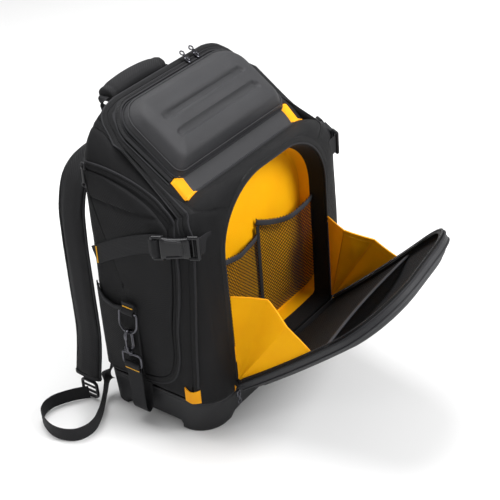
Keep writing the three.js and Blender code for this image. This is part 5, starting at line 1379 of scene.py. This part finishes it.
hook_path = np.concatenate([
    [[hook_x - 7, hook_y, gate_tip + 0.5]], arc(hook_top, 180, 0, 18), arc(gate_foot - 3, 0, -180, 18),
    [[hook_x - 7, hook_y, gate_foot - 3.4]],
])
hook = [sweep(hook_path, (0, 1, 0), round_section(5.4, 4.0, 14, 0.8))]
t = np.linspace(0, 1, 14)
barrel_path = np.c_[np.full(14, hook_x), np.full(14, hook_y), mix(gate_foot - 9.4, eye_top - 0.6, t)]
barrel_size = np.array([2.6, 3.4, 3.4, 2.4, 2.4, 3.6, 3.6, 3.6, 3.6, 3.0, 3.0, 3.9, 3.9, 3.0])
ring_a = np.linspace(0, 2 * np.pi, 16, endpoint=False)
circle = np.c_[np.cos(ring_a), np.sin(ring_a), 0 * ring_a]
hook += [loft(barrel_path[:, None] + barrel_size[:, None, None] * circle)]
eye_half = 18.0
eye = curve(np.array([
    [0, eye_top], [eye_half - 4, eye_top], [eye_half - 1, eye_top - 1.2], [eye_half, eye_top - 4],
    [eye_half, eye_low + 3], [eye_half - 1, eye_low + 0.9], [eye_half - 3, eye_low], [-eye_half + 3, eye_low],
    [-eye_half + 1, eye_low + 0.9], [-eye_half, eye_low + 3], [-eye_half, eye_top - 4],
    [-eye_half + 1, eye_top - 1.2], [-eye_half + 4, eye_top], [-0.5, eye_top],
])[:, [0, 1, 1]] * [1, 1, 0], 70)
eye_path = np.c_[np.full(70, hook_x), hook_y + eye[:, 0], eye[:, 1]]
hook += [tube(eye_path, 2.0, (1, 0, 0), closed=True, count=12)]
for k in (-1, 1):
    cheek = [hook_x - 7, hook_y + 2.8 * k, gate_foot] + np.linspace([0, 0, -5], [0, 0, 2], 10)
    hook += [sweep(cheek, (1, 0, 0), round_section(5.0, 1.6, 12, 0.6))]
    pin = [hook_x - 7, hook_y + 3.4 * k, gate_foot] + np.linspace([0, -0.4, 0], [0, 0.4, 0], 4)
    hook += [sweep(pin, (1, 0, 0), round_section(2.4, 2.4, 10))]
piece("hook_body", hook, black_metal, ["snap_hook"])

gate_t = np.linspace(0, 1, 16)
gate_z = mix(gate_foot - 2.2, gate_tip, gate_t)
gate_wide = np.where(gate_t < 0.3, mix(4.4, 3.2, gate_t / 0.3), 3.2)
gate = np.array([np.c_[hook_x - 7 + s[:, 0], hook_y + s[:, 1], np.full(len(s), zz)] for zz, s in (
    (zz, round_section(w, 2.9, 16, 0.6)) for zz, w in zip(gate_z, gate_wide))])
piece("gate_lever", loft(gate), black_metal, ["hook_gate"], body="gate")

wrap = 3.3
a = np.linspace(np.pi, 0, 14)
loop = np.c_[hook_x + wrap * np.cos(a), np.full(14, hook_y), eye_low + wrap * np.sin(a)]
anchor_x = -194.3
fall = np.array([
    [hook_x + 1.3, eye_low - 7], [hook_x + 1.3, eye_low - 14], [hook_x + 0.6, 50], [hook_x + 2.5, 31],
    [hook_x + 8, 24], [anchor_x - 4.4, 32], [anchor_x - 1.2, 50], [anchor_x - 0.4, 64], [anchor_x, 74],
])
outer = np.array([[hook_x - 1.2, eye_low - 12], [hook_x - wrap + 0.6, eye_low - 4]])
rows_ = np.concatenate([outer, loop[:, [0, 2]], fall])
strap_path = curve(np.c_[rows_[:, 0], np.full(len(rows_), hook_y), rows_[:, 1]], 110)
hanging = sweep(strap_path, (0, 1, 0), round_section(30, 1.8, 14, 0.45))
piece("loop_strap", hanging, webbing, ["hook_strap"])
tack = np.linspace([hook_x - 2.6, hook_y - 13, eye_low - 7.5], [hook_x - 2.6, hook_y + 13, eye_low - 7.5], 20)
piece("loop_strap_tack", stitches(tack, (-1, 0, 0), 1.3, 0.2, 2.0), yellow_thread)
print("hook and loop hung")

# %% [markdown]
# ## Padding
# A pad starts as a plain form a little smaller than it should be. It becomes an even mesh, is blown up
# as cloth for twenty frames without gravity, and no point may move far. Seams are pressed in afterwards.

# %% stuffing
def stuffed(name, surfaces, material, stands_for, channels=(), voxel=5.0, cap=3.0, hold=None):
    """A padded piece. Hold is a function from points to how freely they may move, from 0 to 1."""
    made = piece(name, surfaces, material, stands_for)
    remesh = made.modifiers.new("even", "REMESH")
    remesh.mode, remesh.voxel_size = "VOXEL", voxel * MM
    mesh = bpy.data.meshes.new_from_object(made.evaluated_get(bpy.context.evaluated_depsgraph_get()))
    made.modifiers.clear()
    made.data = mesh
    start = np.empty(len(mesh.vertices) * 3, dtype=np.float32)
    mesh.vertices.foreach_get("co", start)
    start = start.reshape(-1, 3) / MM
    moved = start.copy()
    puff = made.modifiers.new("puff", "CLOTH")
    puff.settings.quality = 4
    puff.settings.use_pressure = True
    puff.settings.uniform_pressure_force = 4.0
    puff.settings.effector_weights.gravity = 0.0
    puff.point_cache.frame_start, puff.point_cache.frame_end = 1, 20
    for number in range(1, 21):
        bpy.context.scene.frame_set(number)
    shown = made.evaluated_get(bpy.context.evaluated_depsgraph_get()).to_mesh()
    end = np.empty(len(mesh.vertices) * 3, dtype=np.float32)
    shown.vertices.foreach_get("co", end)
    made.modifiers.clear()
    bpy.context.scene.frame_set(1)
    step = end.reshape(-1, 3) / MM - start
    size = np.linalg.norm(step, axis=1, keepdims=True)
    free = 1 if hold is None else hold(start)[:, None]
    moved += step * np.minimum(1, cap / np.maximum(size, 1e-6)) * free
    normal = np.empty(len(mesh.vertices) * 3, dtype=np.float32)
    mesh.vertices.foreach_get("normal", normal)
    for line, depth, wide in channels:
        near = np.min(np.linalg.norm(start[:, None] - line[None], axis=2), axis=1)
        moved -= normal.reshape(-1, 3) * (depth * np.exp(-(near / wide) ** 2))[:, None]
    mesh.vertices.foreach_set("co", (moved * MM).ravel().astype(np.float32))
    mesh.update()
    mesh.materials.clear()
    mesh.materials.append(material)
    mesh.shade_smooth()
    rounder = made.modifiers.new("rounder", "SUBSURF")
    rounder.levels = rounder.render_levels = 1
    return made


print("stuffing functions ready")


# %% [markdown]
# The back carries two pads with slanting channels, and above them the yoke that both shoulder straps
# leave from. Only the faces that stand off the back are free to swell.

# %% back pads and yoke
panel_y = 98.4


def pad_rings(x0, x1, z0, z1, thick, radius, count=16):
    """A flat pad with round corners, from its back to its crowned face."""
    rings = []
    for y, inset in ((0, 2.0), (0.5, 1.0), (thick * 0.45, 1.0), (thick * 0.8, 3.0), (thick - 1.0, 8.0)):
        ring = []
        for x, z, start in ((x1, z1, 0), (x0, z1, 90), (x0, z0, 180), (x1, z0, 270)):
            a = np.radians(start + np.linspace(0, 90, count))
            cx = x - np.sign(x - (x0 + x1) / 2) * radius
            cz = z - np.sign(z - (z0 + z1) / 2) * radius
            round_x, round_z = (radius - inset) * np.cos(a), (radius - inset) * np.sin(a)
            ring.append(np.c_[cx + round_x, np.full(count, panel_y + y), cz + round_z])
        rings.append(np.concatenate(ring))
    return np.array(rings)


def off_the_back(points):
    return smooth((points[:, 1] - panel_y - 1.5) / 4)


for side, sign in (("left", -1), ("right", 1)):
    x0, x1 = sorted((sign * 11.0, sign * 115.0))
    slants = [np.linspace([x0 + 8, panel_y + 12, z - 9], [x1 - 8, panel_y + 12, z + 9], 40)
              for z in (160, 224, 288, 352)]
    channels = [(slant, 3.6, 5.0) for slant in slants]
    rings = pad_rings(x0, x1, 100, 399.7, 12.4, 22)
    stuffed(f"back_cushion_{side}", loft(rings), pad_cloth, [f"back_pad_{side}"], channels, cap=2.5,
            hold=off_the_back)
    edge = rings[1]
    piece(f"back_piping_{side}", tube(edge + [0, 1.2, 0], 1.6, (0, 1, 0), closed=True), binding)

yoke_rings = pad_rings(-106, 106, 431.7, 469, 5.4, 10)
stuffed("yoke_pad", loft(yoke_rings), pad_cloth, ["strap_yoke"], voxel=3.5, cap=0.8, hold=off_the_back)
piece("yoke_piping", tube(yoke_rings[2] + [0, 0.6, 0], 1.5, (0, 1, 0), closed=True), binding)
print("back pads and yoke stuffed")

# %% [markdown]
# A shoulder strap is a flat padded band that turns over at the shoulder. Two short tables hold its path
# and the direction across it, and one smooth curve runs through both, so the band never twists sharply.

# %% shoulder straps
left_rows = np.array([
    [-56, 110.3, 434.9], [-80, 117.3, 429], [-108, 131, 425.7], [-134, 129, 412], [-163, 128, 393],
    [-182, 126.8, 352], [-194, 119.6, 306], [-200, 116, 218], [-200, 119.6, 122], [-207, 128, 46],
])
left_across = np.array([
    [0.35, 0, -0.94], [0.3, 0.25, -0.9], [0.15, 0.8, -0.55], [0, 1, -0.1], *[[0, 1, 0]] * 6,
])
right_rows = np.array([
    [70, 110.3, 441], [73, 117.3, 417.7], [80, 123.3, 380], [92, 126.3, 300], [104, 123.3, 210],
    [112, 119.3, 140],
])
right_across = np.array([[1, 0, 0], [1, 0, 0], [1, 0, 0.1], [1, 0, 0.1], [1, 0, 0.1], [1, 0, 0]])
for side, rows_, turn in (("left", left_rows, left_across), ("right", right_rows, right_across)):
    path, across = route(rows_, turn, 120)
    _, side_way, face = frames(path, across)
    form = sweep(path, across, round_section(50, 10.5, 24, 0.55))
    channels = [(path + side_way * shift + face * up, 2.0, 4.0) for shift in (-17, 17) for up in (-6, 6)]
    stuffed(f"shoulder_strap_{side}", form, pad_cloth, [f"shoulder_pad_{side}"], channels, voxel=4.5, cap=1.8)
    edges = [tube(path + side_way * shift, 2.0, (1, 1, 0.2)) for shift in (-24.6, 24.6)]
    piece(f"shoulder_edges_{side}", edges, binding)
    tip = path[-1] + np.array([[0, 0, 4.0], [0, 0, 1], [0, 0, -2]])
    piece(f"shoulder_tip_{side}", sweep(tip, across[-1], round_section(53, 12, 20, 0.55)), webbing)
    foot = np.array([path[-1] + [0, 0, 7], path[-1] + [0, 0, -3], path[-1] + [0, 0, -14]])
    foot_band = sweep(curve(foot, 12), across[-1], round_section(25, 4.4, 14, 0.5))
    piece(f"shoulder_foot_{side}", foot_band, webbing)
print("shoulder straps stuffed")

# %% [markdown]
# ## Webs, locks and the haul grip
# The lower webs run from a ladder lock at each strap's foot to the bag's lower back corner. The left one
# lies on its edge in a wide loop on the floor. The haul grip is a padded roll over two webs.

# %% ladder locks and lower webs
def ladder_lock(name, middle, wide_way, out_way):
    """A plastic frame with two slots, a bar between them, and a lifted tail."""
    middle, wide_way, out_way = (np.asarray(a, float) for a in (middle, wide_way, out_way))
    up = np.array([0, 0, 1.0])
    a = np.linspace(0, 2 * np.pi, 60, endpoint=False)
    x = 15.6 * np.sign(np.cos(a)) * np.abs(np.cos(a)) ** 0.35
    z = 15.0 * np.sign(np.sin(a)) * np.abs(np.sin(a)) ** 0.35
    rail = middle + wide_way * x[:, None] + up * z[:, None]
    parts = [sweep(rail, out_way, round_section(5.0, 4.2, 10, 0.7), closed=True)]
    for height, size in ((4.4, 3.6), (-5.6, 4.4)):
        bar_path = middle + up * height + np.linspace(-15, 15, 8)[:, None] * wide_way
        parts += [tube(bar_path, size / 2, out_way, count=10)]
    tail_rows = [middle - up * 14, middle - up * 15.5 + out_way, middle - up * 16.6 + out_way * 2.2]
    tail = curve(np.array(tail_rows), 10)
    parts += [sweep(tail, wide_way, round_section(22, 2.6, 12, 0.6))]
    return piece(name, parts, plastic, [name.replace("_frame", "")])


ladder_lock("ladder_lock_left_frame", (-208.5, 128, 20), (0, 1, 0), (-1, 0, 0))
ladder_lock("ladder_lock_right_frame", (114, 119.9, 120), (1, 0, 0), (0, 1, 0))
loop_rows = np.array([
    [-212.4, 128, 14], [-225, 141, 13.4], [-243, 154, 13.4], [-262, 163, 13.4], [-280, 163, 13.4],
    [-296, 154, 13.4], [-308, 134, 13.4], [-314, 112, 13.4], [-312, 92, 13.4], [-302, 74, 13.4],
    [-286, 66, 13.4], [-268, 66, 13.4], [-248, 74, 13.4], [-230, 84, 13.4], [-212, 96, 14],
    [-198, 104, 20], [-187, 108, 32], [-177, 105, 48], [-170, 101.5, 66], [-168, 99.8, 82],
])
loop_path = curve(loop_rows, 150)
lean = smooth((loop_path[:, 2:] - 20) / 30)
loop_across = mix(np.array([0, 0, 1.0]), np.array([0.75, 0, 0.66]), lean)
web_section = round_section(25, 1.8, 14, 0.45)
piece("floor_web", sweep(loop_path, loop_across, web_section), webbing, ["lower_web_left"])
short_rows = np.array([
    [116, 115.6, 116], [124, 111.9, 104], [140, 107.9, 92], [154, 102, 86], [166, 100, 86],
])
short_turn = np.array([[0.85, 0, 0.5]] * 2 + [[0.5, 0, 0.86]] * 3)
short_web = sweep(*route(short_rows, short_turn, 40), web_section)
piece("short_web", short_web, webbing, ["lower_web_right"])
print("locks and webs hung")

# %% [markdown]
# The haul grip is a padded roll, pressed in near both ends. Its two webs go down to the yoke, and the
# left one passes a small steel ring.

# %% haul grip
grip_y, grip_z, grip_x = 120.0, 492.0, -22.0
t = np.linspace(0, 1, 50)
grip_path = np.c_[grip_x + mix(-63.4, 63.4, t), np.full(50, grip_y), grip_z + 6 * np.sin(np.pi * t)]
size = 1 - 0.12 * np.abs(2 * t - 1) ** 6
base = round_section(34, 27, 28, 0.95)
_, side_way, up_way = frames(grip_path, (0, 1, 0))
grip_rings = grip_path[:, None] + size[:, None, None] * (
    base[:, 0, None] * side_way[:, None] + base[:, 1, None] * up_way[:, None])
round_grip = np.c_[0 * ring_a, 17 * np.cos(ring_a), 13.5 * np.sin(ring_a)]
channels = [(grip_path[k] + round_grip, 2.2, 3.0) for k in (4, 45)]
stuffed("grip_roll", loft(grip_rings), pad_cloth, ["haul_grip"], channels, voxel=3.5, cap=1.6)
seam = grip_path + [0, -1.0, -14.6]
piece("grip_seam", tube(seam[4:-4], 1.2), binding)
for side, sign in (("left", -1), ("right", 1)):
    x = grip_x + sign * 64.4
    rows_ = np.array([
        [x - sign * 10, grip_y, 492.4], [x, grip_y, 492], [x + sign * 4, grip_y, 491.6],
        [x + sign * 9, grip_y - 3, 485], [x + sign * 11, grip_y - 9, 474], [x + sign * 10, 107.4, 465],
        [x + sign * 9, 104.7, 456],
    ])
    turn = np.array([[0, 1, 0]] * 4 + [[1, 0, 0]] * 3, float)
    if sign < 0:
        rows_ = np.concatenate([rows_[:4], [[x - 10, 111.9, 480], [x - 10, 111.3, 475]]])
        turn = np.array([[0, 1, 0]] * 3 + [[0.6, 0.6, 0]] + [[1, 0, 0]] * 2, float)
    haul_band = sweep(*route(rows_, turn, 50), round_section(18, 1.8, 12, 0.5))
    piece(f"haul_strap_{side}", haul_band, webbing, [f"haul_web_{side}"])

ring_mid = grip_x - 64.4 - 10
a = np.linspace(0, 2 * np.pi, 50, endpoint=False)
box_x = 12 * np.sign(np.cos(a)) * np.abs(np.cos(a)) ** 0.3
box_z = 6 * np.sign(np.sin(a)) * np.abs(np.sin(a)) ** 0.3
haul_wire = np.c_[ring_mid + box_x, np.full(50, 107.9), 473 + box_z]
piece("haul_ring_wire", tube(haul_wire, 1.5, (0, 1, 0), closed=True, count=10), steel, ["haul_ring"])
tab_rows = np.array([
    [104.4, 451], [104.4, 463], [105.0, 467], [107.9, 469.9], [110.8, 467], [106.8, 461], [106.6, 453],
])
tab_path = curve(np.c_[np.full(7, ring_mid), tab_rows], 40)
tab_band = sweep(tab_path, (1, 0, 0), round_section(16, 1.4, 12, 0.5))
piece("haul_ring_loop", tab_band, webbing, ["haul_tab"])
print("haul grip stuffed")

# %% [markdown]
# ## Zip pulls
# A slider is a rounded block over the zip with a bridge on it. A tongue hangs from the bridge and ends
# in a round eye.

# %% pulls
def pull(name, middle, way, out, length, material):
    """A slider with its tongue. Way is the direction that the tongue points in, out is off the zip."""
    middle, way, out = np.asarray(middle, float), unit(np.asarray(way, float)), np.asarray(out, float)
    out = unit(out - out @ way * way)
    side = np.cross(out, way)

    def at(s, w, o):
        return middle + s * side + w * way + o * out

    t = np.linspace(-1, 1, 12)
    wide = 8.6 - 2.2 * t ** 4 + 0.8 * t
    rings = np.array([[at(*p) for p in np.c_[s[:, 0], np.full(16, 5.6 * k), s[:, 1]]] for k, s in (
        (k, round_section(w, 4.6 - 1.4 * k ** 6, 16, 0.6)) for k, w in zip(t, wide))])
    parts = [loft(rings)]
    bridge = curve(np.array([at(0, -3.6, 1.8), at(0, -1.6, 3.6), at(0, 1.6, 3.6), at(0, 3.6, 1.8)]), 16)
    parts += [sweep(bridge, side, round_section(3.0, 1.2, 10, 0.7))]
    reach_ = np.linspace(1.5, length - 3.6, 14)
    tongue = np.array([at(0, w, 1.3 + 0.5 * np.sin(w / length * 3)) for w in reach_])
    parts += [sweep(tongue, side, round_section(4.6, 1.8, 12, 0.6))]
    a = np.linspace(0, 2 * np.pi, 30, endpoint=False)
    eye = np.array([at(3.6 * np.cos(k), length + 3.6 * np.sin(k), 1.2) for k in a])
    parts += [tube(eye, 1.15, out, closed=True, count=10)]
    return piece(name, parts, material, [name.replace("_metal", "").replace("_cord", "")])


pull("front_pull_metal", (-133.5, -121.3, 61.6), (0, 0, -1), (0, -1, 0), 15, black_metal)
seat = frame_line(139.5, 142.5, 5.7)
seat = seat[len(seat) // 2]
for side, x in (("left", 50), ("right", 72)):
    pull(f"lid_pull_{side}_metal", (x, seat[1], seat[2] + 2.9), (0, 0.788, 0.616), (0, -0.616, 0.788), 14,
         black_metal)
for side, sign in (("left", -1), ("right", 1)):
    high, low = skin_x(82.0, 434.7), skin_x(82.0, 404.7)
    lean = np.arctan2(low - high, 30)
    down, away = (sign * np.sin(lean), 0, -np.cos(lean)), (sign * np.cos(lean), 0, np.sin(lean))
    pull(f"side_pull_{side}_cord", (sign * (high + 9.0), 82.0, 434.7), down, away, 30, plastic)

# %% [markdown]
# ## The floor
# A pale matt floor stands for the white background of the photograph.

# %% floor
floor_mesh = bpy.data.meshes.new("floor")
floor_mesh.from_pydata([(-6, -6, 0), (6, -6, 0), (6, 6, 0), (-6, 6, 0)], [], [(0, 1, 2, 3)])
floor = bpy.data.objects.new("floor", floor_mesh)
floor_graph = Graph("floor_paper")
floor_cloud = floor_graph.noise(floor_graph.place(False), 400)
floor_colour = floor_graph.colour(linear("dedede"), linear("e2e2e2"), floor_cloud)
floor_paper = floor_graph.finish(floor_colour, 0.9 + floor_cloud * 0.05, floor_cloud, 0.0)
floor_mesh.materials.append(floor_paper)
bpy.context.scene.collection.objects.link(floor)
print("floor laid")
